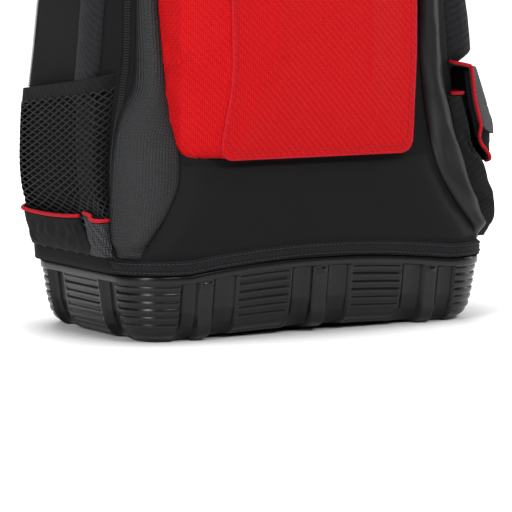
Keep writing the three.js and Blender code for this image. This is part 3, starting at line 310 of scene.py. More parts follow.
def new_finish(name, **shader_values):
    """A material with its shader, ready for a pattern."""
    finish = bpy.data.materials.new(name)
    finish.use_nodes = True
    tree = finish.node_tree
    tree.nodes.clear()
    shader = node(tree, "ShaderNodeBsdfPrincipled", shader_values)
    node(tree, "ShaderNodeOutputMaterial", {"Surface": shader.outputs[0]})
    return finish, tree, shader


# %% Woven cloth
def woven(name, thread, dark, light, depth, twill=False, cloud=0.3, **values):
    """Cloth of threads of a real width, in metres: each lies over one and under one, or over two aslant in a twill."""
    shading = {"Roughness": 0.8, "Sheen Weight": 0.03, "Sheen Roughness": 0.5, "Specular IOR Level": 0.2}
    shading.update(values)
    finish, tree, shader = new_finish(name, **shading)
    lengths = node(tree, "ShaderNodeUVMap", uv_map="cloth")
    split = node(tree, "ShaderNodeSeparateXYZ", {0: lengths.outputs[0]})
    place = node(tree, "ShaderNodeTexCoord").outputs["Object"]
    clouds = node(tree, "ShaderNodeTexNoise", {"Vector": place, "Scale": 14.0, "Detail": 3.0})
    at = {"x": split.outputs["X"], "y": split.outputs["Y"], "clouds": clouds.outputs[0]}
    # The steps of the sum, in order: what it makes, how, and from what.
    for made, operation, first, second in (
            ("warp", "DIVIDE", "x", thread), ("weft", "DIVIDE", "y", thread),
            ("warp_number", "FLOOR", "warp", 0.0), ("weft_number", "FLOOR", "weft", 0.0),
            ("crossing", "ADD", "warp_number", "weft_number"),
            ("turn", "DIVIDE", "crossing", 4.0 if twill else 2.0), ("share_of_turn", "FRACT", "turn", 0.0),
            ("on_top", "LESS_THAN", "share_of_turn", 0.49),
            ("warp_angle", "MULTIPLY", "warp", math.pi), ("warp_wave", "SINE", "warp_angle", 0.0),
            ("warp_ridge", "ABSOLUTE", "warp_wave", 0.0),
            ("weft_angle", "MULTIPLY", "weft", math.pi), ("weft_wave", "SINE", "weft_angle", 0.0),
            ("weft_ridge", "ABSOLUTE", "weft_wave", 0.0),
            ("hidden", "MULTIPLY", "on_top", 0.7), ("seen", "SUBTRACT", 0.7, "hidden"),
            ("weft_part", "MULTIPLY", "weft_ridge", "seen"), ("warp_part", "MULTIPLY", "warp_ridge", "on_top"),
            ("height", "ADD", "warp_part", "weft_part"), ("threads", "MULTIPLY", "height", 1 - cloud),
            ("fading", "MULTIPLY", "clouds", cloud), ("share", "ADD", "threads", "fading")):
        sockets = {0: at.get(first, first), 1: at.get(second, second)}
        at[made] = node(tree, "ShaderNodeMath", sockets, operation=operation).outputs[0]
    bump = node(tree, "ShaderNodeBump", {"Strength": 1.0, "Distance": depth, "Height": at["height"]})
    # The colour is mostly painted shade: the dark colour where the threads dip, the light one on their tops. The clouds
    # add a little random tone.
    blend = node(tree, "ShaderNodeMix", {0: at["share"], 6: colour(dark), 7: colour(light)}, data_type="RGBA")
    tree.links.new(blend.outputs[2], shader.inputs["Base Color"])
    tree.links.new(bump.outputs[0], shader.inputs["Normal"])
    return finish


# Each weave below has two colours: the threads' tops, and a darker copy painted as shade where they dip.
# Polyester of 600 denier has threads of about 0.6 mm. They are drawn 1.6 mm wide here, so that they show.
BLACK_POLYESTER = woven("black_polyester_cloth", 0.0016, "#0c0c0d", "#232325", 0.00012)
# The smooth panel under the pocket is a coated cloth, so it is glossier and its weave hardly shows.
COATED_POLYESTER = woven("coated_polyester_cloth", 0.0011, "#141415", "#1c1c1e", 0.00003, Roughness=0.62)
# Ballistic nylon has thick threads in pairs, which the photograph shows on the padded bands.
BALLISTIC_NYLON = woven("ballistic_nylon", 0.0017, "#080809", "#363639", 0.0004, twill=True, cloud=0.15, Roughness=0.6)
RED_POLYESTER = woven("red_polyester_twill", 0.0017, "#84060d", "#de1019", 0.0004, twill=True, cloud=0.12,
                      Roughness=0.7)
BINDING_TAPE = woven("ribbed_binding_tape", 0.0022, "#0b0b0c", "#2e2e31", 0.0003, Roughness=0.7)
WEBBING = woven("nylon_webbing", 0.0018, "#0b0b0c", "#29292b", 0.00025, twill=True)
GREY_POLYESTER = woven("grey_polyester_cloth", 0.0016, "#3a3b3d", "#6c6d70", 0.0002)
HERRINGBONE = woven("coarse_herringbone_cloth", 0.0024, "#070708", "#58585c", 0.0006, twill=True, cloud=0.1)
SPACER_MESH = woven("padded_spacer_mesh", 0.0030, "#050506", "#2b2b2d", 0.0005)
RED_BINDING = woven("red_piping_tape", 0.0012, "#8c0d1b", "#d82a3a", 0.00015, twill=True)
ZIP_TAPE = woven("zip_tape", 0.0012, "#0a0a0b", "#1c1c1e", 0.0001, twill=True)


# %% Moulded plastics and metal
def moulded(name, code, scale, depth, pebble=0.0, **values):
    """A moulded surface: a fine grain in space, and where asked a pebbled relief on the cloth map."""
    finish, tree, shader = new_finish(name, **values)
    place = node(tree, "ShaderNodeTexCoord").outputs["Object"]
    fine = node(tree, "ShaderNodeTexNoise", {"Vector": place, "Scale": 1 / scale, "Detail": 4.0})
    broad = node(tree, "ShaderNodeTexNoise", {"Vector": place, "Scale": 30.0, "Detail": 2.0})
    height = fine.outputs[0]
    if pebble:
        lengths = node(tree, "ShaderNodeUVMap", uv_map="cloth")
        cells = node(tree, "ShaderNodeTexVoronoi", {"Vector": lengths.outputs[0], "Scale": 1 / pebble,
                                                    "Randomness": 0.15}, voronoi_dimensions="2D")
        height = node(tree, "ShaderNodeMath", {0: 1.0, 1: cells.outputs["Distance"]}, operation="SUBTRACT").outputs[0]
    bump = node(tree, "ShaderNodeBump", {"Strength": 1.0, "Distance": depth, "Height": height})
    dark = tuple(c * 0.8 for c in colour(code)[:3]) + (1.0,)
    light = tuple(min(1.0, c * 1.3) for c in colour(code)[:3]) + (1.0,)
    blend = node(tree, "ShaderNodeMix", {0: broad.outputs[0], 6: dark, 7: light}, data_type="RGBA")
    rough = node(tree, "ShaderNodeMapRange", {0: fine.outputs[0], 3: values.get("Roughness", 0.5) - 0.06,
                                              4: values.get("Roughness", 0.5) + 0.06})
    tree.links.new(blend.outputs[2], shader.inputs["Base Color"])
    tree.links.new(rough.outputs[0], shader.inputs["Roughness"])
    tree.links.new(bump.outputs[0], shader.inputs["Normal"])
    return finish


# Polypropylene comes from the mould with a spark-eroded grain of about 0.5 mm and a soft shine.
POLYPROPYLENE = moulded("moulded_polypropylene", "#0d0e0f", 0.0006, 0.00003, Roughness=0.3, IOR=1.49)
# The corner strips are moulded foam with a close pebbled relief, drawn 2.6 mm apart so that it shows.
MOULDED_FOAM = moulded("moulded_eva_foam", "#1e1f21", 0.001, 0.0010, pebble=0.0028, Roughness=0.55, IOR=1.5)
# A darker copy of the strip's foam, without its pebbled relief: painted shade for the right strip, which faces away
# from the key lamp.
SHADED_FOAM_COPY = moulded("coated_foam_skin", "#111213", 0.0009, 0.00012, Roughness=0.5, IOR=1.5)
NYLON_STRAND = moulded("knitted_nylon_strand", "#202022", 0.0008, 0.0001, Roughness=0.6)
ZIP_NYLON = moulded("nylon_zip_coil", "#0b0b0c", 0.0008, 0.00005, Roughness=0.42)
BLACK_THREAD = moulded("black_sewing_thread", "#2b2b2d", 0.0004, 0.00005, Roughness=0.6)
RED_THREAD = moulded("red_sewing_thread", "#a01420", 0.0004, 0.00005, Roughness=0.6)
DARK_METAL = moulded("black_plated_zinc", "#3a3b3d", 0.0008, 0.00003, Roughness=0.35, Metallic=1.0)

# %% [markdown]
# ## The body's form
#
# Every cloth piece lies on one form: horizontal sections of the pack, given at a few levels, joined by an arch over
# the top. These are the same named shares as in the CAD source. Reading them a little above and below each place
# rounds the form as cloth over board does, so the dressed pieces are smooth where the CAD has facets.

# %% The body as a surface
BODY = {
    "rise": [0.0, 0.075, 0.13, 0.225, 0.305, 0.38, 0.46, 0.56, 0.71, 0.86, 1.0, 2.0],
    "half": [1.01, 1.01, 1.012, 1.013, 1.006, 0.998, 0.988, 0.967, 0.94, 0.907, 0.865, 0.865],
    "rear": [1.005, 1.01, 1.02, 1.03, 1.03, 1.02, 1.01, 1.0, 0.99, 0.98, 0.97, 0.9],
    "cut": [0.75, 0.66, 0.56, 0.44, 0.38, 0.34, 0.32, 0.32, 0.32, 0.34, 0.38, 0.55],
    "zip": [-0.6, -0.59, -0.55, -0.49, -0.43, -0.4, -0.385, -0.38, -0.37, -0.36, -0.34, -0.26],
    "groove": [0.02, 0.03, 0.05, 0.12, 0.18, 0.24, 0.3, 0.32, 0.26, 0.25, 0.25, 0.25],
    "outer": [0.03, 0.06, 0.13, 0.22, 0.28, 0.37, 0.47, 0.52, 0.43, 0.41, 0.4, 0.4],
    "inner": [0.3, 0.36, 0.76, 1.2, 1.3, 1.3, 1.27, 1.18, 0.98, 0.86, 0.8, 0.7],
    "inner_y": [-0.9, -0.85, -0.85, -0.82, -0.76, -0.69, -0.62, -0.57, -0.51, -0.48, -0.45, -0.36],
    "front": [-1.0, -0.99, -0.955, -0.89, -0.8, -0.72, -0.65, -0.6, -0.55, -0.52, -0.49, -0.42],
}


def column(name, level, reach=0.03):
    near = np.linspace(-reach, reach, 7)
    return np.mean([np.interp(level + d, BODY["rise"], BODY[name]) for d in near], axis=0)


def arch(level):
    """The outline seen from the front at some levels: places and outward directions in X and Z."""
    half = HALF_WIDTH * column("half", level)
    rise = PACK_HEIGHT - SHOULDER_HEIGHT
    angle = np.clip(level - 1, 0, 1) * math.pi / 2
    c, s = np.cos(angle) ** (2 / ARCH_POWER), np.sin(angle) ** (2 / ARCH_POWER)
    z = np.where(level <= 1, FLOOR + (SHOULDER_HEIGHT - FLOOR) * level, SHOULDER_HEIGHT + rise * s)
    way = unit(np.stack([c ** (ARCH_POWER - 1) / half, s ** (ARCH_POWER - 1) / rise], -1))
    return half * c, z, way[..., 0], way[..., 1]


def mix(a, b, t):
    return a + (b - a) * t


def sections(level):
    """Places and outward directions of the stations round the body, at each of some levels."""
    cut, rear, zip_y = (CORNER * column("cut", level), HALF_DEPTH * column("rear", level),
                        HALF_DEPTH * column("zip", level))
    zero = np.zeros_like(level)
    trace = [(-cut * (1 - math.sin(a)), rear - cut * (1 - math.cos(a))) for a in (0, math.pi / 4, math.pi / 2)]
    band_rear = zip_y + ZIP_LIP + BAND_WIDTH
    trace += [(zero, (rear - cut + band_rear) / 2), (zero, band_rear), (zero, zip_y + ZIP_LIP)]
    trace += [(-CORNER * column("groove", level), zip_y), (-CORNER * column("outer", level), zip_y - ZIP_LIP)]
    trace += [(-CORNER * column("inner", level), HALF_DEPTH * column("inner_y", level))]
    trace = np.stack([np.stack([a, b], -1) for a, b in trace])
    before = np.concatenate([trace[:1] - [1, 0], trace[:-1]])
    after = np.concatenate([trace[1:], trace[-1:] - [1, 0.1]])
    along = unit(after - before)
    x, z, nx, nz = arch(level)
    place = np.stack([np.maximum(0, x + nx * trace[..., 0]), trace[..., 1], z + nz * trace[..., 0]], -1)
    way = np.stack([-nx * along[..., 1], along[..., 0], -nz * along[..., 1]], -1)
    first, last, front = place[0], place[-1], HALF_DEPTH * column("front", level)
    rear_way, front_way = np.broadcast_to([0.0, 1, 0], first.shape), np.broadcast_to([0.0, -1, 0], first.shape)
    at = lambda x_share, y: np.stack([last[:, 0] * x_share, y, last[:, 2]], -1)
    places = [np.stack([0 * zero, rear, first[:, 2]], -1), np.stack([first[:, 0] / 2, rear, first[:, 2]], -1), *place,
              at(0.86, mix(last[:, 1], front, 0.8)), at(0.45, mix(last[:, 1], front, 0.97)), at(0.0, front)]
    ways = [rear_way, rear_way, *way, mix(way[-1], front_way, 0.8), mix(way[-1], front_way, 0.97), front_way]
    mirrored = np.array([-1.0, 1, 1])
    places += [p * mirrored for p in places[-2:0:-1]]
    ways += [w * mirrored for w in ways[-2:0:-1]]
    return np.stack(places, 1), np.stack(ways, 1)


def on_body(level, station, grow=0.0, soft=0.2):
    """Points on the body, grown outwards. A station below zero is on the left side."""
    level, station, grow = np.broadcast_arrays(*(np.asarray(v, float) for v in (level, station, grow)))
    levels, which = np.unique(level.ravel().round(6), return_inverse=True)
    place, way = sections(levels)
    spot = np.zeros((station.size, 3))
    out = np.zeros((station.size, 3))
    shifts = np.linspace(-soft, soft, 5)
    for shift in shifts:
        at = (station.ravel() + shift) % RING
        low = np.floor(at).astype(int) % RING
        share = (at - np.floor(at))[:, None]
        spot += mix(place[which, low], place[which, (low + 1) % RING], share) / len(shifts)
        out += mix(way[which, low], way[which, (low + 1) % RING], share)
    return (spot + grow.ravel()[:, None] * unit(out)).reshape(level.shape + (3,))


def level_of(z):
    return (np.asarray(z, float) - FLOOR) / (SHOULDER_HEIGHT - FLOOR)


def rim_rise(x, y, height=RIM_ARCH):
    on_long_side = np.clip((np.abs(y) / HALF_DEPTH - 0.8) / 0.12, 0, 1)
    return height * on_long_side * np.maximum(0, 1 - (x / ARCH_REACH) ** 2)


print("Widest at", np.round(on_body(np.array(0.2), np.array(5.0)), 4), "top", np.round(on_body(2.0, 0.0), 4))

# %% [markdown]
# ## The moulded tray
#
# The tray is one injection moulding: a rim flange over a wall with blocks of horizontal ribs, hollows between them
# and a post in each hollow. It could be built from separate ribs, but the real one has no joints, so its outer wall
# is a single dense field: each point's depth comes from where it stands round the rim and how high it is.

# %% The rim's path and the wall's depth
def rim_path(step):
    """Places and outward ways round the tray's rounded rectangle, a step apart, from the rear right corner."""
    arc = [(math.cos(a), math.sin(a)) for a in np.linspace(0, math.pi / 2, max(4, round(CORNER * 1.571 / step)))]
    x, y = HALF_WIDTH - CORNER, HALF_DEPTH - CORNER
    places, ways = [], []
    for quarter, (sx, sy) in enumerate(((1, 1), (-1, 1), (-1, -1), (1, -1))):
        for c, s in arc:
            way = ((c, s), (-s, c), (-c, -s), (s, -c))[quarter]
            places.append((sx * x + way[0] * CORNER, sy * y + way[1] * CORNER))
            ways.append(way)
        run, turned = (2 * x, (-1, 0)) if quarter % 2 == 0 else (2 * y, (0, -1))
        if quarter >= 2:
            turned = (-turned[0], -turned[1])
        for k in range(1, round(run / step)):
            places.append((places[-1][0] + turned[0] * run / round(run / step),
                           places[-1][1] + turned[1] * run / round(run / step)))
            ways.append(ways[-1])
    return np.array(places), np.array(ways, float)


def wall_depth(x, y, z):
    """How far the tray's wall stands inside the rim, for places on the rim's outline."""
    share = z / BASE_HEIGHT
    block = CORNER * np.interp(share, [0, 0.06, 0.2, 0.42, 0.87], [0.5, 0.34, 0.2, 0.12, 0.03])
    hollow = CORNER * np.interp(share, [0, 0.06, 0.2, 0.42, 0.87], [0.62, 0.5, 0.38, 0.28, 0.2])
    post = block * np.interp(share, [0, 0.1, 0.28, 0.4, 0.87], [0.75, 0.75, 0.8, 1, 1])
    long_side = np.abs(y) > HALF_DEPTH - 1e-4
    on_corner = (np.abs(x) > HALF_WIDTH - CORNER) & (np.abs(y) > HALF_DEPTH - CORNER)
    # Distances past the edge of the nearest block, and from the middle of the nearest post.
    past_block = np.where(long_side, np.abs(np.abs(x) - POST_PITCH / 2) - BLOCK_WIDTH / 2,
                          np.abs(y) - SIDE_BLOCK_WIDTH / 2)
    past_corner = np.where(long_side, HALF_WIDTH - CORNER - np.abs(x), HALF_DEPTH - CORNER - np.abs(y))
    past_block = np.where(on_corner, -0.02, np.minimum(past_block, past_corner))
    from_post = np.abs(x - POST_PITCH * np.round(x / POST_PITCH))
    past_post = np.where(long_side & (past_block > 0), from_post - POST_WIDTH / 2, 1.0)
    # Each hollow is a scoop between a block and a post, steep at its edges and round at its foot.
    into = np.minimum(past_block, past_post)
    width = np.where(long_side, 0.0108, 0.0078)
    across = np.clip(into / width, 0, 1)
    scoop = np.sqrt(np.clip(1 - (1 - across) ** 2.4, 0, 1))
    depth = mix(block, hollow, scoop)
    depth = np.where(past_post < 0, post, depth)
    depth = np.where((past_post >= 0) & (past_post < 0.002), mix(post, depth, smoothstep(0, 0.002, past_post)), depth)
    # Ribs: rounded, with narrow grooves, open at one end of a block and closed by a plain edge at the other.
    low, high = 0.07 * BASE_HEIGHT, FLANGE_BOTTOM - 0.001
    turn = (z - low) / (high - low) * RIB_COUNT
    ridge = np.abs(np.sin(math.pi * np.clip(turn, 0, RIB_COUNT))) ** 0.4
    ridge = np.where(turn < 0, smoothstep(0, -0.5, turn), ridge)
    inside = smoothstep(-0.0012, -0.0034, past_block + np.where(on_corner, 0.02 - 0.0215, 0.0))
    depth = depth + RIB_DEPTH * (1 - ridge) * np.where(on_corner, 1.0, inside)
    # A small raised cap near the top of each post catches the light.
    cap = np.exp(-(from_post / 0.0046) ** 4 - ((z - 0.0485) / 0.0021) ** 4)
    return depth - np.where(past_post < 0, 0.0018 * cap, 0)


# %% The tray
def make_tray():
    outline, ways = rim_path(0.0012)
    x, y = outline[:, 0], outline[:, 1]
    rows = []

    def ring(inset, z, arched=True):
        lift = np.zeros_like(x)
        if arched:
            lift = mix(rim_rise(x, y, UNDER_ARCH), rim_rise(x, y), np.clip(z / FLANGE_BOTTOM, 0, 1))
        rows.append(np.stack([x - ways[:, 0] * inset, y - ways[:, 1] * inset, z + lift], -1))

    ring(0.95 * CORNER, 0.0, False)
    for z in np.concatenate([[0, 0.0004, 0.0012], np.arange(0.002, 0.0524, 0.0009)]):
        ring(wall_depth(x, y, z) + (0.0006 if z == 0 else 0), z)
    for inset, z in ((0.0004, 0.0524), (0.0, 0.0532), (-0.0002, 0.0545), (-0.0002, 0.0585), (0.0003, 0.0596),
                     (0.0012, 0.06), (0.0166, 0.06), (0.0166, 0.0594), (0.0168, 0.055), (0.0245, 0.012),
                     (0.0312, 0.004)):
        ring(inset, z)
    ring(0.95 * CORNER + 0.004, 0.004, False)
    grid = np.array(rows)
    count = grid.shape[1]
    tray = grid_piece("tray_moulding", grid, POLYPROPYLENE, wrap=True)
    work = bmesh.new()
    work.from_mesh(tray.data)
    work.verts.ensure_lookup_table()
    work.faces.new([work.verts[k] for k in range(count)][::-1])
    last = (len(rows) - 1) * count
    work.faces.new([work.verts[last + k] for k in range(count)])
    bmesh.ops.triangulate(work, faces=[f for f in work.faces if len(f.verts) > 4])
    bmesh.ops.recalc_face_normals(work, faces=work.faces)
    work.to_mesh(tray.data)
    work.free()
    return tray


tray = make_tray()
print("Tray faces:", len(tray.data.polygons))

# %% [markdown]
# ## The binding round the foot
#
# A woven tape folds over the edge where the cloth meets the tray. It follows the tray's arched rim, so it is swept
# round the same path, as a soft rounded band with a slight waviness, as sewn tape has.

# %% Binding
def binding_point(x, y, ways, out, up):
    """A point on the binding's section: out from the rim's outline, and up from its foot."""
    lift = rim_rise(x, y)
    return np.stack([x + ways[:, 0] * out, y + ways[:, 1] * out, BASE_HEIGHT + 2 * GAP + up + lift], -1)


def make_binding():
    outline, ways = rim_path(0.004)
    x, y = outline[:, 0], outline[:, 1]
    wave = grain(np.stack([x, y, 0 * x], -1), 0.022, 3.1)
    rows = []
    for out, up in ((-0.004, 0.0), (-0.0006, 0.0), (0.0008, 0.0008), (0.0018, 0.003), (0.0021, 0.0062),
                    (0.0018, 0.0094), (0.0008, 0.0117), (-0.0006, 0.0125), (-0.004, 0.0125)):
        rows.append(binding_point(x, y, ways, out + 0.0004 * wave * (out > 0), up))
    grid = np.array(rows + rows[:1])
    return weld_piece(grid_piece("binding_tape", grid, BINDING_TAPE, wrap=True))


binding = make_binding()

# %% [markdown]
# ## The cloth body
#
# The main body is black polyester over a board and thin foam. It is one closed sheet laid on the body form, from the
# binding up and over the top, where its two sides meet in a seam along the middle.

# %% Body cloth
def make_body_cloth():
    levels = np.concatenate([np.linspace(0, 1, 56), np.linspace(1, 1.985, 44)[1:]])
    stations = np.linspace(0, RING, 208, endpoint=False)
    grid = on_body(levels[:, None], stations[None, :], 0.0)
    foot = rim_rise(grid[0, :, 0], grid[0, :, 1]) * np.clip(1 - (grid[..., 2] - FLOOR) / 0.03, 0, 1)
    grid[..., 2] += foot
    grid += 0.0006 * unit(grid - np.array([0, 0.01, 0.25])) * grain(grid, 0.05)[..., None]
    ridge = grid[-1].copy()
    ridge[:, 0] = 0
    cloth = grid_piece("body_cloth", np.concatenate([grid, ridge[None]]), BLACK_POLYESTER, wrap=True)
    return weld_piece(thicken(cloth, 0.0015))


body_cloth = make_body_cloth()
print("Body cloth box:", np.round(places_of(body_cloth).min(0), 3), np.round(places_of(body_cloth).max(0), 3))

# %% [markdown]
# ## Padded bands, strips and panels
#
# Several pieces are strips of cloth or foam laid on the body between two stations. One function lays such a patch:
# it takes the levels along it, the stations across it, and how far each point stands off. Its edge rows turn in to
# the body, so that a patch always closes against the cloth that carries it.

# %% A patch on the body
def patch(name, levels, stations, lift, finish, root=-0.002):
    """A closed patch on the body. levels and stations are grids, and so is lift, its height over the cloth."""
    outer = on_body(levels, stations, GAP + lift)
    inner = on_body(levels, stations, root)
    top = np.concatenate([inner[:1], outer, inner[-1:]])
    sides = np.concatenate([inner[:1], inner, inner[-1:]])
    grid = np.concatenate([sides[:, :1], top, sides[:, -1:]], 1)
    return grid_piece(name, grid, finish)


def hoop(z_start, rise_count=60, top_count=34):
    """Levels and sides along a band that goes up the left side, over the top and down the right side."""
    up = np.concatenate([np.linspace(level_of(z_start), 1, rise_count), np.linspace(1, 1.99, top_count)[1:]])
    return np.concatenate([up, up[::-1]]), np.concatenate([-np.ones(len(up)), np.ones(len(up))])


# %% The woven gusset, a padded roll up both sides and over the top
def make_gusset():
    levels, sides = hoop(0.103, 84, 46)
    z = FLOOR + levels * (SHOULDER_HEIGHT - FLOOR)
    across = np.linspace(0, 1, 17)
    left = 0.011 * np.ones_like(levels)
    right = np.where(levels > 1, 0.011, mix(0.033, 0.011, np.clip((levels - 0.7) / 0.3, 0, 1)))
    bulge = np.where(sides < 0, left * mix(0.5, 1, smoothstep(0.198, 0.214, z)),
                     right * mix(0.18, 1, smoothstep(0.224, 0.246, z)))
    section = (1 - np.abs(2 * across - 1) ** 2.6) ** 0.55
    lift = bulge[:, None] * (0.16 + 0.84 * section[None, :])
    stations = sides[:, None] * mix(BAND_REAR + 0.04, BAND_FRONT - 0.05, across)[None, :]
    level_grid = levels[:, None] + 0 * across
    wrinkle = grain(on_body(level_grid, stations), 0.016, 5.0)
    return patch("gusset_roll", level_grid, stations, lift + 0.0007 * wrinkle * section, BALLISTIC_NYLON, 0.0)


gusset = make_gusset()

# %% The moulded corner strips
def make_strip(side):
    name = "strip_moulding_" + ("left" if side < 0 else "right")
    levels = np.linspace(float(level_of(0.0733 + 0.0022)), 0.93, 90)[:, None]
    across = np.linspace(0, 1, 21)[None, :]
    ends = smoothstep(0, 0.05, (levels - levels[0]) / (0.93 - levels[0])) * smoothstep(0, 0.04, (0.93 - levels))
    section = 0.12 + 0.88 * np.sin(across * math.pi) ** 0.85
    lift = 0.010 * section * (0.3 + 0.7 * ends)
    # Low down the strip swells over the zip beside it.
    fuller = np.exp(-((levels - 0.22) / 0.2) ** 2) * ends
    over_zip = smoothstep(0.5, 0.36, levels) * smoothstep(0.02, 0.16, levels) * (side < 0)
    lift = lift * (1.1 + 0.6 * fuller)
    stations = side * (STRIP_OUTER + 0.06 - 0.85 * over_zip + (0.88 + 0.85 * over_zip + 0.15 * fuller) * across)
    if side > 0:
        # The right strip is crumpled along the pack's bend. It takes a darker, smoother copy of the strip's foam:
        # painted shade for the side away from the key lamp.
        place = on_body(levels + 0 * across, stations)
        crumple = 1 - np.abs(grain(place * np.array([1, 1, 0.55]), 0.026, 4.0)) * 2.4
        lift = lift + 0.0026 * crumple * np.sin(math.pi * across) * ends
    return patch(name, levels + 0 * across, stations, lift, MOULDED_FOAM if side < 0 else SHADED_FOAM_COPY, 0.0)


strips = [make_strip(side) for side in (-1, 1)]

# %% The smooth panel under the front pocket
def make_panel():
    across = np.linspace(0, 1, 84)[None, :]
    stations = mix(STRIP_INNER - 0.1, RING - STRIP_INNER + 0.1, across)
    foot = on_body(np.zeros_like(stations), stations)
    low = FLOOR + BINDING_HEIGHT + GAP + rim_rise(foot[..., 0], foot[..., 1])
    up = np.linspace(0, 1, 32)[:, None]
    z = mix(low, 0.1583, up)
    lift = 0.003 * (0.4 + 0.6 * np.sin(math.pi * up) * np.sin(math.pi * across))
    edge = np.minimum(np.minimum(up, 1 - up) / 0.06, np.minimum(across, 1 - across) / 0.02)
    lift = lift * np.clip(edge, 0.25, 1)
    return patch("lower_panel_cloth", level_of(z), stations + 0 * up, lift, COATED_POLYESTER, 0.0)


lower_panel = make_panel()

# %% [markdown]
# ## The red front pocket
#
# The pocket is a box of red twill: a face panel and a side wall all round, joined in a seam at the corner. It is
# built from outlines at a row of depths, from the root behind the strips to the face, which leans back a little.

# %% Outline and body of the front pocket
POCKET_BOTTOM, POCKET_TOP, POCKET_TOP_CORNER = 0.159, 0.407, 0.046
POCKET_ROOT, POCKET_FACE, POCKET_FRONT, POCKET_CROWN = 0.133, 0.099, 0.107, 0.007


def pocket_outline(half, radius, count=220):
    """A rounded rectangle seen from the front, with even spacing, as X and Z."""
    points = []
    for sx, z, up, r, turn in ((1, POCKET_BOTTOM, 1, radius, -1), (1, POCKET_TOP, -1, POCKET_TOP_CORNER, 0),
                               (-1, POCKET_TOP, -1, POCKET_TOP_CORNER, 1), (-1, POCKET_BOTTOM, 1, radius, 2)):
        for a in (turn + np.linspace(0, 1, 12)) * math.pi / 2:
            points.append((sx * (half - r) + r * math.cos(a), z + up * r + r * math.sin(a)))
    points = np.array(points + points[:1])
    run = np.concatenate([[0], np.cumsum(np.linalg.norm(np.diff(points, axis=0), axis=1))])
    at = np.linspace(0, run[-1], count, endpoint=False)
    return np.stack([np.interp(at, run, points[:, 0]), np.interp(at, run, points[:, 1])], -1)


def pocket_ring(depth, scale=1.0, bulge=0.0):
    narrow, radius = (np.interp(depth, [-0.35, 0.6, 0.97], column) for column in ([-0.3, 0.02, 1], [16, 16, 11]))
    half = POCKET_ROOT + (POCKET_FACE - POCKET_ROOT) * narrow
    outline = pocket_outline(half, radius / 1000)
    middle = (POCKET_BOTTOM + POCKET_TOP) / 2
    share = np.clip((outline[:, 1] - POCKET_BOTTOM) / (POCKET_TOP - POCKET_BOTTOM), 0, 1)
    # The right wall is steeper. On the left the cloth is pulled in beside the seam, most at a third of its height.
    right = mix(POCKET_FACE, half, 0.35) / half
    pulled = 0.009 * smoothstep(0, 0.3, share) * (1 - 0.4 * smoothstep(0.3, 1, share)) * smoothstep(0.55, 0.95, depth)
    fold = 0.0045 * math.exp(-((depth - 0.84) / 0.09) ** 2)
    left = 1 - (pulled + fold) / half
    x = outline[:, 0] * np.where(outline[:, 0] > 0, right, left) * scale
    z = middle + (outline[:, 1] - middle) * scale
    share = (z - POCKET_BOTTOM) / (POCKET_TOP - POCKET_BOTTOM)
    face = -POCKET_FRONT + 0.056 * np.maximum(0, share - 0.5) ** 2 + 0.006 * np.maximum(0, 0.35 - share) / 0.35
    root = HALF_DEPTH * float(column("front", np.array([level_of(POCKET_BOTTOM)]))[0]) + 0.040
    return np.stack([x, mix(root, face, (depth + 0.35) / 1.35) - bulge, z], -1)


def make_pocket():
    rows = [pocket_ring(d) for d in np.linspace(-0.05, 0.9, 20)]
    rows += [pocket_ring(d) for d in (0.93, 0.955, 0.975)]
    rows += [pocket_ring(0.975, 1.006), pocket_ring(0.985, 1.008), pocket_ring(0.995, 1.004)]
    for scale in (0.99, 0.98, 0.965, 0.95, 0.93, 0.9):
        rows.append(pocket_ring(1.0, scale, 0.0004 + POCKET_CROWN * 0.15 * (1 - scale) / 0.1))
    for scale in np.linspace(0.87, 0.03, 28):
        rows.append(pocket_ring(1.0, scale, POCKET_CROWN * min(1, 0.15 + 0.85 * (0.9 - scale) / 0.4)))
    grid = np.array(rows)
    pocket = grid_piece("front_pocket_cloth", grid, RED_POLYESTER, wrap=True, flip=True)
    work = bmesh.new()
    work.from_mesh(pocket.data)
    work.verts.ensure_lookup_table()
    count = grid.shape[1]
    face = work.faces.new([work.verts[(len(grid) - 1) * count + k] for k in range(count)])
    face.smooth = True
    bmesh.ops.recalc_face_normals(work, faces=work.faces)
    work.to_mesh(pocket.data)
    work.free()
    # The root, the seam and the middle of the face's edge are held, and the cloth between them swells.
    row = np.repeat(np.arange(len(grid)), count)
    held = np.maximum.reduce([row < 3, (row > 20) & (row < 31), 0.35 * (row >= 31)]).astype(float)
    settle(pocket, held, 1.2, 0.0035, 0.012, stiffness=20.0)
    # The face panel's weave lies flat on it, and the side wall's runs along the wall.
    layer = pocket.data.uv_layers["cloth"]
    for polygon in pocket.data.polygons:
        if polygon.normal.y < -0.75:
            for loop in polygon.loop_indices:
                point = pocket.data.vertices[pocket.data.loops[loop].vertex_index].co
                layer.data[loop].uv = (point.x, point.z)
    return pocket


front_pocket = make_pocket()
print("Front pocket:", np.round(places_of(front_pocket).min(0), 3), np.round(places_of(front_pocket).max(0), 3))

# %% [markdown]
# ## The left side: net pocket and tool sleeves
#
# A knitted net pocket hangs on the left side from an elastic band, over two small sleeves with red piping. The net's
# strands are real geometry: a lattice of edges is laid where the net hangs, and Geometry Nodes turns each edge into
# a round strand. Then the net is open, as the real one is, and the cloth behind shows through it.

# %% Where the net hangs
SIDE_FLOOR = BASE_HEIGHT + 2 * GAP + BINDING_HEIGHT + 0.001
MESH_TOP, MESH_RISE, MESH_BAND, STAND_OFF, NET = 0.198, 0.022, 0.014, 0.011, 0.0014
SLEEVE_TOP, SLEEVE_DEPTH = 0.107, 0.004
SLEEVES = {"rear": (0.03, 0.52), "front": (0.56, 0.97)}


def pocket_front(z):
    """The station of the side pockets' front edge: over the zip low down, beside it above."""
    return mix(ZIP + 0.9, BAND_FRONT + 0.9, np.clip((z - SLEEVE_TOP - 0.002) / 0.016, 0, 1))


def stand_off(v):
    return np.minimum(1, np.sin(math.pi * np.clip(v, 0, 1)) * 2.6)


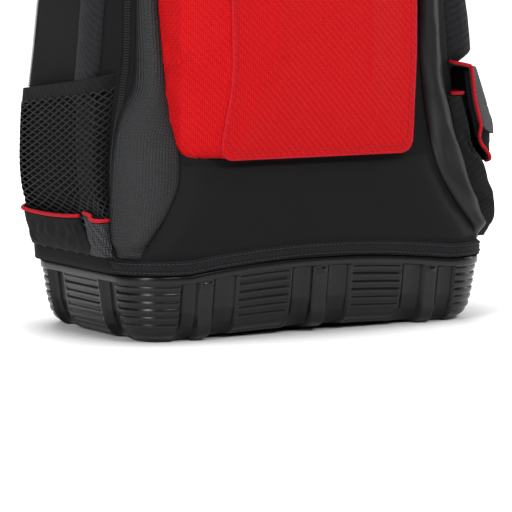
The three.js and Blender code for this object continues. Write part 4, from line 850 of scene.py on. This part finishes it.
def net_place(z, v, lift=0.0):
    """A point of the net pocket, from its rear edge at v = 0 to its front edge at v = 1."""
    station = -mix(SIDE_START - 0.4, pocket_front(z), v)
    rise = np.clip((z - SIDE_FLOOR) / (0.75 * MESH_TOP - SIDE_FLOOR), 0, 1)
    off = 3 * GAP + (STAND_OFF * (0.3 + 0.7 * np.sqrt(rise)) + lift) * stand_off(v)
    return on_body(level_of(z), station, off)


# %% The net's strands
def tube_tree(name, finish, sides):
    """Geometry Nodes: each edge of a mesh becomes a round strand of a given thickness."""
    tree = bpy.data.node_groups.new(name, "GeometryNodeTree")
    tree.interface.new_socket("Geometry", in_out="INPUT", socket_type="NodeSocketGeometry")
    tree.interface.new_socket("Thickness", in_out="INPUT", socket_type="NodeSocketFloat")
    tree.interface.new_socket("Geometry", in_out="OUTPUT", socket_type="NodeSocketGeometry")
    given = node(tree, "NodeGroupInput")
    half = node(tree, "ShaderNodeMath", {0: given.outputs["Thickness"], 1: 0.5}, operation="MULTIPLY")
    lines = node(tree, "GeometryNodeMeshToCurve", {"Mesh": given.outputs["Geometry"]})
    ring = node(tree, "GeometryNodeCurvePrimitiveCircle", {"Resolution": sides, "Radius": half.outputs[0]})
    tubes = node(tree, "GeometryNodeCurveToMesh", {"Curve": lines.outputs[0], "Profile Curve": ring.outputs["Curve"],
                                                  "Fill Caps": True})
    whole = node(tree, "GeometryNodeRealizeInstances", {0: tubes.outputs[0]})
    painted = node(tree, "GeometryNodeSetMaterial", {"Geometry": whole.outputs[0], "Material": finish})
    node(tree, "NodeGroupOutput", {0: painted.outputs[0]})
    return tree


def grow_from(piece, tree, **values):
    """Runs a node tree on a piece with its inputs set by identifier, and keeps the plain mesh."""
    grown = piece.modifiers.new("grown", "NODES")
    grown.node_group = tree
    for item in tree.interface.items_tree:
        if item.in_out == "INPUT" and item.name.lower().replace(" ", "_") in values:
            grown[item.identifier] = values[item.name.lower().replace(" ", "_")]
    return bake_modifiers(piece)


def make_net():
    rows, columns = 47, 24
    points, edges = [], []
    index = {}
    for i in range(rows):
        for j in range(columns + 1):
            if (i + j) % 2 == 0:
                index[i, j] = len(points)
                v = 0.012 + 0.976 * j / columns
                top = MESH_TOP + MESH_RISE * v + 0.002
                z = mix(SIDE_FLOOR, top, i / (rows - 1))
                points.append(net_place(np.array(z), np.array(v), NET / 2))
    for (i, j), k in index.items():
        for dj in (-1, 1):
            if (i + 1, j + dj) in index:
                edges.append((k, index[i + 1, j + dj]))
    mesh = bpy.data.meshes.new("net_strands")
    mesh.from_pydata([tuple(p) for p in points], edges, [])
    mesh.materials.append(NYLON_STRAND)
    net = bpy.data.objects.new("net_strands", mesh)
    bpy.context.scene.collection.objects.link(net)
    return grow_from(net, tube_tree("net_strand", NYLON_STRAND, 6), thickness=0.0015)


def make_net_edge():
    """The tape that binds the net's rear edge, just inside the net."""
    across, up = np.linspace(0.0, 0.11, 9)[None, :], np.linspace(0, 1, 40)[:, None]
    z = mix(SIDE_FLOOR, MESH_TOP + MESH_RISE * across, up)
    return thicken(grid_piece("net_edge_tape", net_place(z, across + 0 * up, -0.0012), BLACK_POLYESTER, flip=True), 0.0008)


net = make_net()
net_edge = make_net_edge()
print("Net faces:", len(net.data.polygons))

# %% The elastic band and the two sleeves
def make_net_band():
    across = np.linspace(0, 1, 56)[None, :]
    up = np.linspace(0, 1, 9)[:, None]
    z = MESH_TOP + MESH_RISE * across + GAP + MESH_BAND * up
    grid = net_place(z, across + 0 * up, 0.0006 * grain(net_place(z, across + 0 * up), 0.012, 2.0))
    return thicken(grid_piece("net_band", grid, WEBBING, flip=True), CLOTH, 1.0)


def sleeve_top(name, v):
    """The height of a sleeve's edge: the rear one sags, and the front one rises towards the fold between them."""
    if name == "rear":
        return SLEEVE_TOP - 0.0025 * np.sin(math.pi * v)
    return SLEEVE_TOP + 0.0045 * (1 - smoothstep(0.0, 0.55, v)) - 0.001


def sleeve_place(name, start, end, up, v, extra=0.0):
    """A point of a sleeve. A pleat opens between the two, wide at the top and closed at the foot."""
    z = mix(SIDE_FLOOR + 0.001, sleeve_top(name, v), up)
    swell = SLEEVE_DEPTH * np.sqrt(np.maximum(0, np.sin(math.pi * v) * up))
    if name == "rear":
        across = mix(start, end + 0.07 * (1 - up), v)
    else:
        across = mix(start, end, v)
        swell = swell * smoothstep(0.10 * up, 0.34 * up + 0.02, v) + 0.0022 * smoothstep(0.2 * up, 0.4 * up + 0.02, v)
    return net_place(z, across, NET / stand_off(across) + 2 * GAP + swell + extra)


def make_sleeve(name, start, end):
    v, up = np.linspace(0, 1, 40)[None, :], np.linspace(0, 1, 16)[:, None]
    grid = sleeve_place(name, start, end, up + 0 * v, v + 0 * up)
    sheet = grid_piece("sleeve_cloth_" + name, grid, HERRINGBONE if name == "front" else BLACK_POLYESTER, flip=True)
    settle(sheet, edge_hold(16, 40), 1.5, 0.002, 0.02)
    return thicken(sheet, CLOTH * 0.7, 1.0)


def round_line(name, points, diameter, finish, sides=10):
    """A round cord of cloth along a row of points, with closed ends and its lengths in the cloth map."""
    points = np.array(points)
    along = unit(np.gradient(points, axis=0))
    side = unit(np.cross(along, np.where(np.abs(along[:, 2:3]) < 0.9, [[0, 0, 1.0]], [[0, 1.0, 0]])))
    up = np.cross(side, along)
    angle = np.linspace(0, 2 * math.pi, sides, endpoint=False)
    ring = side[:, None] * np.cos(angle)[None, :, None] + up[:, None] * np.sin(angle)[None, :, None]
    grid = points[:, None] + ring * diameter / 2
    ends = [np.repeat(points[:1, None], sides, 1), np.repeat(points[-1:, None], sides, 1)]
    piece = grid_piece(name, np.concatenate([ends[0], grid, ends[1]]), finish, wrap=True)
    return weld_piece(piece)


net_band = make_net_band()
sleeves, sleeve_pipings = [], []
for name, (start, end) in SLEEVES.items():
    sleeves.append(make_sleeve(name, start, end))
    v = np.linspace(0.01, 0.99, 48)
    tucked = 0.0035 * (1 - smoothstep(0.0, 0.07, np.minimum(v, 1 - v)))
    line = sleeve_place(name, start, end, np.ones(48), v, CLOTH / 2 - tucked)
    line[:, 2] += PIPING / 2
    sleeve_pipings.append(round_line("sleeve_piping_" + name, line, PIPING, RED_BINDING))

# %% [markdown]
# ## The right side: two tiers of pockets
#
# A full pocket of woven nylon stands on the tray, with a red piped edge. Over it hangs a smaller pocket with a grey
# flap. Both bulge from the body, so their cloth is given by how far it stands off at each height.

# %% Places on the right pockets
LOWER_TOP, LOWER_DEPTH, UPPER_LOW, UPPER_TOP, UPPER_DEPTH = 0.204, 0.023, 0.141, 0.226, 0.035
LOWER_SWELL = ([0.0, 0.08, 0.25, 0.5, 0.62, 1.0], [0.3, 0.84, 1.0, 0.92, 0.62, 0.36])
UPPER_SWELL = ([0.0, 0.12, 0.38, 0.66, 1.0, 1.11], [0.05, 0.32, 0.5, 0.38, 0.2, 0.17])


def rounded(share, table, reach=0.07):
    """Reads a table of swelling, a little above and below, so that cloth bends where the table has corners."""
    return np.mean([np.interp(share + d, *table) for d in np.linspace(-reach, reach, 9)], axis=0)


def boxed(v):
    return np.minimum(1, 3.2 * np.sin(math.pi * np.clip(v, 0, 1))) ** 0.7


def lower_off(z):
    return 0.0022 + LOWER_DEPTH * rounded((z - SIDE_FLOOR) / (LOWER_TOP - SIDE_FLOOR), LOWER_SWELL)


def lower_place(z, v, extra=0.0):
    station = mix(SIDE_START + 0.1, pocket_front(z), v)
    return on_body(level_of(z), station, 2 * GAP + lower_off(z) * boxed(v) + extra)


def upper_place(z, v, extra=0.0):
    station = mix(SIDE_START + 0.6, BAND_FRONT + 0.25, v)
    rise = (z - UPPER_LOW) / (UPPER_TOP - UPPER_LOW)
    across = (station - SIDE_START - 0.1) / (pocket_front(z) - SIDE_START - 0.1)
    under = lower_off(np.minimum(z, LOWER_TOP)) * boxed(across)
    off = 4 * GAP + 0.0022 + under + CLOTH + UPPER_DEPTH * rounded(rise, UPPER_SWELL, 0.1) * boxed(v)
    # The flap's own top edge turns in and is sewn to the body.
    sewn = 1 - 0.94 * smoothstep(1.05, 1.115, rise)
    return on_body(level_of(z), station, (off + extra) * sewn)


# %% The right pockets
def pocket_sheet(name, place, low, high, rows, columns, finish, thickness, extra=0.0, crease=0.0, seed=0.0,
                 corner=0.0, span=0.11):
    """A sheet over a pocket, from low to high, with its two lower corners rounded."""
    share, across = np.linspace(0, 1, rows)[:, None], np.linspace(0, 1, columns)[None, :]
    near = np.clip(1 - np.minimum(across, 1 - across) * span / max(corner, 1e-6), 0, 1)
    up = mix(low + corner * (1 - np.sqrt(1 - near ** 2)), high, share)
    grid = place(up + 0 * across, across + 0 * up, extra)
    if crease:
        hold = np.sin(math.pi * across) ** 0.5 * np.sin(math.pi * share) ** 0.5
        grid = place(up + 0 * across, across + 0 * up, extra + crease * hold * grain(grid, 0.03, seed))
    sheet = grid_piece(name, grid, finish)
    settle(sheet, edge_hold(rows, columns), 2.5, 0.005, 0.03)
    return thicken(sheet, thickness, 1.0)


lower_pocket = pocket_sheet("lower_pocket_cloth", lower_place, SIDE_FLOOR, LOWER_TOP, 44, 60, BALLISTIC_NYLON,
                            CLOTH, 0.0, 0.0022, 1.0)
upper_pocket = pocket_sheet("upper_pocket_cloth", upper_place, UPPER_LOW, UPPER_TOP, 30, 44, BLACK_POLYESTER,
                            CLOTH, 0.0, 0.0005, 2.0, 0.020)
flap_low = mix(UPPER_LOW, UPPER_TOP, 0.30)
FLAP_CLEAR = CLOTH + GAP + 0.0018    # how far the flap lies over the pocket's own surface
flap = pocket_sheet("flap_cloth", upper_place, flap_low, mix(UPPER_LOW, UPPER_TOP, 1.11), 24, 44, GREY_POLYESTER,
                    0.002, FLAP_CLEAR, 0.0005, 3.0, 0.012)
v = 0.02 + 0.96 * np.linspace(0, 1, 60)
lower_piping = round_line("lower_piping", lower_place(np.full(60, LOWER_TOP + PIPING / 2), v, CLOTH / 2), PIPING,
                          RED_BINDING)
# The front edge is piped down to the pocket's rounded foot, first along the flap and then along the pocket.
heights = np.linspace(UPPER_LOW + 0.021, mix(UPPER_LOW, UPPER_TOP, 1.11), 50)
over = FLAP_CLEAR * smoothstep(flap_low - 0.004, flap_low + 0.010, heights) + 0.001
line = upper_place(heights, np.ones(50), over) + np.array([0, -0.002, 0])
turn = np.linspace(0, 1, 12)[:, None]
quarter = turn[:, 0] * math.pi / 2
foot = upper_place(UPPER_LOW + 0.020 * (1 - np.sin(quarter)), 1 - 0.18 * (1 - np.cos(quarter)), np.full(12, CLOTH / 2))
flap_piping = round_line("flap_piping", np.concatenate([foot[::-1][:-1], line]), PIPING, RED_BINDING)

# %% [markdown]
# ## Zips
#
# Each zip is a coil on a woven tape. The tapes are patches on the body, and the teeth are small blocks that Geometry
# Nodes places along the zip's line, a real pitch apart.

# %% Zip tapes and teeth
ZIP_WIDTH, ZIP_THICKNESS, TOOTH_PITCH = 0.009, 0.0018, 0.0023
SLIDER_REACH = 0.0006    # how much higher the teeth stand, so that they meet the sliders


def repeat_tree(name, finish):
    """Geometry Nodes: small blocks at a pitch along a line, turned to face the way the line's points say."""
    tree = bpy.data.node_groups.new(name, "GeometryNodeTree")
    tree.interface.new_socket("Geometry", in_out="INPUT", socket_type="NodeSocketGeometry")
    for size_name in ("Pitch", "Length", "Width", "Height"):
        tree.interface.new_socket(size_name, in_out="INPUT", socket_type="NodeSocketFloat")
    tree.interface.new_socket("Geometry", in_out="OUTPUT", socket_type="NodeSocketGeometry")
    given = node(tree, "NodeGroupInput")
    out_way = node(tree, "GeometryNodeInputNamedAttribute", {"Name": "outward"}, data_type="FLOAT_VECTOR")
    line = node(tree, "GeometryNodeMeshToCurve", {"Mesh": given.outputs["Geometry"]})
    spots = node(tree, "GeometryNodeCurveToPoints", {"Curve": line.outputs[0], "Length": given.outputs["Pitch"]},
                 mode="LENGTH")
    along = node(tree, "FunctionNodeAlignRotationToVector", {"Vector": spots.outputs["Tangent"]}, axis="X")
    facing = node(tree, "FunctionNodeAlignRotationToVector", {"Rotation": along.outputs[0], "Vector": out_way.outputs[0]},
                  axis="Z", pivot_axis="X")
    size = node(tree, "ShaderNodeCombineXYZ", {0: given.outputs["Length"], 1: given.outputs["Width"],
                                               2: given.outputs["Height"]})
    tooth = node(tree, "GeometryNodeMeshCube", {"Size": size.outputs[0]})
    placed = node(tree, "GeometryNodeInstanceOnPoints", {"Points": spots.outputs["Points"],
                                                        "Instance": tooth.outputs["Mesh"],
                                                        "Rotation": facing.outputs[0]})
    whole = node(tree, "GeometryNodeRealizeInstances", {0: placed.outputs[0]})
    painted = node(tree, "GeometryNodeSetMaterial", {"Geometry": whole.outputs[0], "Material": finish})
    node(tree, "NodeGroupOutput", {0: painted.outputs[0]})
    return tree


def make_repeats(name, places, outward, tree, finish, **sizes):
    mesh = bpy.data.meshes.new(name)
    mesh.from_pydata([tuple(p) for p in places], [(k, k + 1) for k in range(len(places) - 1)], [])
    mesh.attributes.new("outward", "FLOAT_VECTOR", "POINT").data.foreach_set(
        "vector", outward.astype(np.float32).ravel())
    mesh.materials.append(finish)
    row = bpy.data.objects.new(name, mesh)
    bpy.context.scene.collection.objects.link(row)
    return grow_from(row, tree, **sizes)


TEETH = repeat_tree("zip_teeth", ZIP_NYLON)
TOOTH = {"pitch": TOOTH_PITCH, "length": 0.0015, "width": 0.0052, "height": 0.0022}


def make_zip(name, z_start, station):
    levels, sides = hoop(z_start, 100, 56)
    across = np.linspace(-0.5, 0.5, 6)
    middle = station + 0.5
    span = np.linalg.norm(on_body(levels, sides * (middle + 0.3), 0.0) - on_body(levels, sides * (middle - 0.3), 0.0),
                          axis=1)
    reach = np.minimum(0.45, ZIP_WIDTH / 2 / span * 0.6)
    stations = sides[:, None] * (middle + 2 * across[None, :] * reach[:, None])
    lift = ZIP_THICKNESS * 0.5 * np.ones_like(stations)
    tape = patch(name + "_tape", levels[:, None] + 0 * across, stations, lift, ZIP_TAPE, 0.0)
    line = on_body(levels, sides * middle, GAP + ZIP_THICKNESS * 0.5 + SLIDER_REACH)
    above = on_body(levels, sides * middle, GAP + ZIP_THICKNESS * 1.5)
    return tape, make_repeats(name + "_teeth", line, unit(above - line), TEETH, ZIP_NYLON, **TOOTH)


front_zip = make_zip("front_zip", 0.135, ZIP)
rear_zip = make_zip("rear_zip", 0.214, REAR_EDGE + 1)


# The pocket's own zip runs over its top, from one side to the other.
def make_pocket_zip():
    ring = {d: pocket_ring(d) for d in (0.62, 0.68, 0.74)}
    middle = ring[0.68]
    chosen = np.flatnonzero(middle[:, 2] > POCKET_TOP - 0.090)
    chosen = chosen[np.argsort(-middle[chosen, 0] + 1e-6 * middle[chosen, 2])]
    order = np.argsort(np.arctan2(middle[chosen, 2] - (POCKET_TOP - 0.1), middle[chosen, 0]))
    chosen = chosen[order]
    centre = np.array([0, 0, POCKET_TOP - 0.1])
    way = unit((middle[chosen] - centre) * np.array([1, 0, 1]))
    rows = [ring[0.62][chosen] + way * GAP]
    rows += [ring[d][chosen] + way * (GAP + 0.0012) for d in (0.62, 0.68, 0.74)]
    rows += [ring[0.74][chosen] + way * GAP]
    tape = grid_piece("pocket_zip_tape", np.array(rows), ZIP_TAPE)
    teeth = make_repeats("pocket_zip_teeth", middle[chosen] + way * (GAP + 0.0012), way, TEETH, ZIP_NYLON, **TOOTH)
    return tape, teeth


pocket_zip = make_pocket_zip()
print("Teeth faces:", [len(pair[1].data.polygons) for pair in (front_zip, rear_zip, pocket_zip)])

# %% [markdown]
# ## Seams and stitches
#
# The face of the red pocket is joined to its side wall by a bound seam, and lock stitches run beside it and along
# the binding. Stitches repeat at a pitch along a line, so the same node tree that made the teeth makes them.

# %% Seam and stitches
STITCHES = repeat_tree("lock_stitches", BLACK_THREAD)
RED_STITCHES = repeat_tree("red_lock_stitches", RED_THREAD)
STITCH = {"pitch": 0.0042, "length": 0.0028, "width": 0.0008, "height": 0.0007}

seam_line = pocket_ring(0.985, 1.004)
pocket_seam = round_line("front_pocket_seam", np.concatenate([seam_line, seam_line[:2]]), 0.0024, RED_BINDING, 8)
face_line = pocket_ring(1.0, 0.955, 0.0011)
face_way = np.broadcast_to([0.0, -1.0, 0.0], face_line.shape)
pocket_stitches = make_repeats("front_pocket_stitches", face_line, face_way, RED_STITCHES, RED_THREAD, **STITCH)

outline, ways = rim_path(0.004)
binding_stitches = []
for row, up in (("low", 0.0026), ("high", 0.0100)):
    line = binding_point(outline[:, 0], outline[:, 1], ways, 0.0023, up)
    line = np.concatenate([line, line[:1]])
    way = np.concatenate([ways, ways[:1]])
    way = np.concatenate([way, 0 * way[:, :1]], 1)
    binding_stitches.append(make_repeats("binding_stitches_" + row, line, way, STITCHES, BLACK_THREAD, **STITCH))

# %% [markdown]
# ## The back: pads, straps and handle
#
# The pads and the shoulder straps are foam in mesh cloth. Each pad starts as a rounded block and is swollen by a
# cloth simulation. The straps, the webbing and the handle are swept along smooth lines, as flat things are.

# %% Pads
def make_pad(name, x, bottom, top, width):
    """A rounded block with a crowned face, in rings from its edge to its middle."""
    rear, thick, radius = HALF_DEPTH * 1.03 + GAP, 0.012, 0.022
    rows = []
    for depth, shrink in ((-0.5, 0.002), (0.1, 0.0004), (0.4, 0.0), (0.65, 0.0012), (0.85, 0.0036), (0.96, 0.0066),
                          (1.0, 0.011)):
        half_x, half_z = width / 2 - shrink, (top - bottom) / 2 - shrink
        r = max(0.002, radius - shrink)
        ring = []
        for quarter, (sx, sz) in enumerate(((1, 1), (-1, 1), (-1, -1), (1, -1))):
            for a in (quarter + np.linspace(0, 1, 10)) * math.pi / 2:
                ring.append((x + sx * (half_x - r) + r * math.cos(a), rear + depth * thick,
                             (bottom + top) / 2 + sz * (half_z - r) + r * math.sin(a)))
        rows.append(ring)
    for scale in np.linspace(0.8, 0.0, 5):
        ring = np.array(rows[6])
        centre = np.array([x, rear + 1.06 * thick, (bottom + top) / 2])
        rows.append(centre + (ring - centre) * scale)
    start = np.array(rows[0])
    closing = [start.mean(0) + 0 * start]
    pad = grid_piece(name, np.array(closing + list(rows)), SPACER_MESH, wrap=True, flip=True)
    weld_piece(pad)
    pad.data.shade_flat()
    voxels = pad.modifiers.new("voxels", "REMESH")
    voxels.mode, voxels.voxel_size, voxels.use_smooth_shade = "VOXEL", 0.005, True
    bake_modifiers(pad)
    place = places_of(pad)
    settle(pad, np.clip((rear - place[:, 1]) / 0.004 + 1, 0, 1), 4.0, 0.006, 0.05)
    place = places_of(pad)
    # Sewn channels across the pad, pressed in after the swelling.
    channel = np.zeros(len(place))
    spacing = 0.0635 if top - bottom > 0.1 else 1.0
    for z in np.arange(bottom + spacing, top - 0.02, spacing):
        channel += np.exp(-((place[:, 2] - z) / 0.0032) ** 2)
    if top - bottom < 0.1:
        for at in (-0.059, 0.0, 0.059):
            channel += np.exp(-((place[:, 0] - x - at) / 0.0032) ** 2)
    place[:, 1] -= 0.0045 * channel * smoothstep(rear + 0.004, rear + 0.012, place[:, 1])
    pad.data.vertices.foreach_set("co", place.astype(np.float32).ravel())
    rounding = pad.modifiers.new("rounding", "SUBSURF")
    rounding.levels = rounding.render_levels = 1
    bake_modifiers(pad)
    flat_map(pad, 0, 2, SPACER_MESH)
    return pad


pads = [make_pad("pad_left", -0.066, 0.170, 0.424, 0.104), make_pad("pad_right", 0.066, 0.170, 0.424, 0.104),
        make_pad("pad_lumbar", 0.0, 0.092, 0.160, 0.236)]


# %% Straps, webbing and handle
def smooth_line(points, count):
    """A Catmull-Rom curve through some points."""
    points = np.array(points, float)
    padded = np.concatenate([[2 * points[0] - points[1]], points, [2 * points[-1] - points[-2]]])
    out = []
    for t in np.linspace(0, len(points) - 1 - 1e-9, count):
        k, u = int(t), t - int(t)
        p = padded[k:k + 4]
        out.append(0.5 * (2 * p[1] + (p[2] - p[0]) * u + (2 * p[0] - 5 * p[1] + 4 * p[2] - p[3]) * u * u
                          + (3 * p[1] - p[0] - 3 * p[2] + p[3]) * u ** 3))
    return np.array(out)


def flat_strap(name, points, width, thickness, finish, level=(1, 0, 0), count=60, fullness=0.5):
    line = smooth_line(points, count)
    along = unit(np.gradient(line, axis=0))
    level = np.array(level, float)
    side = unit(level - along * (along @ level)[:, None])
    out = np.cross(along, side)
    angle = np.linspace(0, 2 * math.pi, 28, endpoint=False)
    c, s = np.cos(angle), np.sin(angle)
    u = np.sign(c) * np.abs(c) ** 0.35 * width / 2
    w = np.sign(s) * np.abs(s) ** fullness * thickness / 2
    grid = line[:, None] + side[:, None] * u[None, :, None] + out[:, None] * w[None, :, None]
    ends = [np.repeat(line[:1, None], 28, 1), np.repeat(line[-1:, None], 28, 1)]
    return weld_piece(grid_piece(name, np.concatenate([ends[0], grid, ends[1]]), finish, wrap=True))


STRAP_X, STRAP_Y, STRAP_TOP, STRAP_LENGTH = 0.0572, 0.14045, 0.445, 0.230
straps, webbings = [], []
for name, side in (("left", -1), ("right", 1)):
    end = STRAP_TOP - STRAP_LENGTH
    shape = [(0, HALF_DEPTH * 0.84 - STRAP_Y, STRAP_TOP), (0.002, -0.006, STRAP_TOP - 0.004),
             (0.012, 0, STRAP_TOP - 0.040), (0.032, 0.002, STRAP_TOP - 0.4 * STRAP_LENGTH),
             (0.054, 0.002, STRAP_TOP - 0.7 * STRAP_LENGTH), (0.060, 0, STRAP_TOP - 0.92 * STRAP_LENGTH),
             (0.060, 0, end)]
    points = [(side * (STRAP_X + x), STRAP_Y + y, z) for x, y, z in shape]
    straps.append(flat_strap("strap_pad_" + name, points, 0.066, 0.012, SPACER_MESH, fullness=0.6))
    low = end - GAP - 0.030 - GAP
    foot = BASE_HEIGHT + BINDING_HEIGHT + 0.025
    shape = [(0.060, 0, low), (0.060, 0, mix(low, foot, 0.15)), (0.066, -0.002, mix(low, foot, 0.4)),
             (0.078, -0.008, mix(low, foot, 0.75)), (0.084, HALF_DEPTH * 0.86 - STRAP_Y, foot)]
    points = [(side * (STRAP_X + x), STRAP_Y + y, z) for x, y, z in shape]
    webbings.append(flat_strap("webbing_" + name, points, 0.025, 0.0018, WEBBING, fullness=0.3))

handle_y = HALF_DEPTH * 0.57
handle = flat_strap("handle_roll", [(-0.055, handle_y, 0.477), (-0.0484, handle_y, 0.493 + 0.0187),
                                    (0, handle_y, 0.527), (0.0484, handle_y, 0.493 + 0.0187),
                                    (0.055, handle_y, 0.477)], 0.028, 0.009, WEBBING, (0, 1, 0), fullness=0.6)

# %% [markdown]
# ## Floor, carried-over parts and what stands for what
#
# The buckles and the zip sliders keep their CAD shapes and get their materials. Every dressed piece names the solid
# that it stands for, and a material slot.

# %% Floor
# The floor is plain white paper. It glows a little, and more with distance from the pack, so that it stays white while
# the lamps are kept low enough for black cloth. Close to the tray the glow fades out: a painted shadow of the pack on
# the floor.
def make_floor():
    finish, tree, shader = new_finish("white_studio_paper", **{"Base Color": colour("#f2f2f2"), "Roughness": 0.95,
                                                              "Emission Color": (1, 1, 1, 1)})
    place = node(tree, "ShaderNodeTexCoord").outputs["Object"]
    far = node(tree, "ShaderNodeVectorMath", {0: place}, operation="LENGTH")
    glow = node(tree, "ShaderNodeMapRange", {0: far.outputs["Value"], 1: 0.5, 2: 2.4, 3: 0.24, 4: 0.95},
                interpolation_type="SMOOTHSTEP")
    # Near the tray the glow is faded out, which paints the pack's shadow on the floor.
    oval = node(tree, "ShaderNodeVectorMath", {0: place, 1: (1, HALF_WIDTH / HALF_DEPTH, 1)}, operation="MULTIPLY")
    near = node(tree, "ShaderNodeVectorMath", {0: oval.outputs[0]}, operation="LENGTH")
    painted_shadow_near_tray = node(tree, "ShaderNodeMapRange", {0: near.outputs["Value"], 1: 0.17, 2: 0.30, 3: 0.0, 4: 1.0},
                 interpolation_type="SMOOTHSTEP")
    both = node(tree, "ShaderNodeMath", {0: glow.outputs[0], 1: painted_shadow_near_tray.outputs[0]}, operation="MULTIPLY")
    tree.links.new(both.outputs[0], shader.inputs["Emission Strength"])
    return make_piece("floor", [(-14, -14, 0), (14, -14, 0), (14, 14, 0), (-14, 14, 0)], [(0, 1, 2, 3)], finish)


make_floor()

# %% Materials of the parts that keep their CAD shape
for name, finish in (("ladder_lock_left", POLYPROPYLENE), ("ladder_lock_right", POLYPROPYLENE),
                     ("front_zip_slider", DARK_METAL), ("rear_zip_slider", DARK_METAL)):
    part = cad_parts[name]
    part.data.materials.clear()
    part.data.materials.append(finish)

# %% What each piece stands for
dressed = [
    (tray, "polypropylene", "base_tray"), (binding, "black_polyester", "base_binding"),
    (body_cloth, "black_polyester", "main_shell"), (gusset, "woven_nylon", "woven_gusset"),
    (strips[0], "moulded_foam", "corner_strip_left"), (strips[1], "moulded_foam", "corner_strip_right"),
    (lower_panel, "black_polyester", "lower_front_panel"), (front_pocket, "red_polyester", "front_pocket"),
    (net, "net", "mesh_pocket"), (net_edge, "net", "mesh_pocket"), (net_band, "woven_nylon", "mesh_pocket_band"),
    (sleeves[0], "black_polyester", "tool_sleeve_rear"), (sleeves[1], "black_polyester", "tool_sleeve_front"),
    (sleeve_pipings[0], "red_piping", "tool_piping_rear"), (sleeve_pipings[1], "red_piping", "tool_piping_front"),
    (lower_pocket, "woven_nylon", "lower_side_pocket"), (lower_piping, "red_piping", "lower_side_binding"),
    (upper_pocket, "black_polyester", "upper_side_pocket"), (flap, "grey_flap", "upper_side_flap"),
    (flap_piping, "red_piping", "upper_side_piping"), (front_zip[0], "zip_tape", "front_zip"),
    (front_zip[1], "zip_tape", "front_zip"), (rear_zip[0], "zip_tape", "rear_zip"),
    (rear_zip[1], "zip_tape", "rear_zip"), (pocket_zip[0], "zip_tape", "front_pocket_zip"),
    (pocket_zip[1], "zip_tape", "front_pocket_zip"), (pads[0], "black_polyester", "back_pad_left"),
    (pads[1], "black_polyester", "back_pad_right"), (pads[2], "black_polyester", "lumbar_pad"),
    (straps[0], "black_polyester", "shoulder_strap_left"), (straps[1], "black_polyester", "shoulder_strap_right"),
    (webbings[0], "woven_nylon", "strap_webbing_left"), (webbings[1], "woven_nylon", "strap_webbing_right"),
    (handle, "woven_nylon", "haul_handle"), (pocket_seam, "red_polyester", "front_pocket"),
    (pocket_stitches, "red_polyester", "front_pocket"), (binding_stitches[0], "black_polyester", "base_binding"),
    (binding_stitches[1], "black_polyester", "base_binding"),
]
for piece, slot, stands_for in dressed:
    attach(piece, "root")
    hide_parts(stands_for)

for piece, flat, held in ((net_band, (0.15, 0.014), "stretched"), (sleeves[0], (0.115, 0.036), "stretched"),
                          (sleeves[1], (0.050, 0.036), "gathered"), (lower_pocket, (0.19, 0.135), "gathered"),
                          (upper_pocket, (0.13, 0.095), "gathered"), (flap, (0.14, 0.065), "folded"),
                          (net_edge, (0.13, 0.015), "stretched")):
    area = sum(polygon.area for polygon in piece.data.polygons) / 2
    print(piece.name, "area", round(area, 4), "flat", round(flat[0] * flat[1], 4))

total = sum(len(p.data.polygons) for p, _, _ in dressed)
print("Dressed pieces:", len(dressed), "faces:", total)
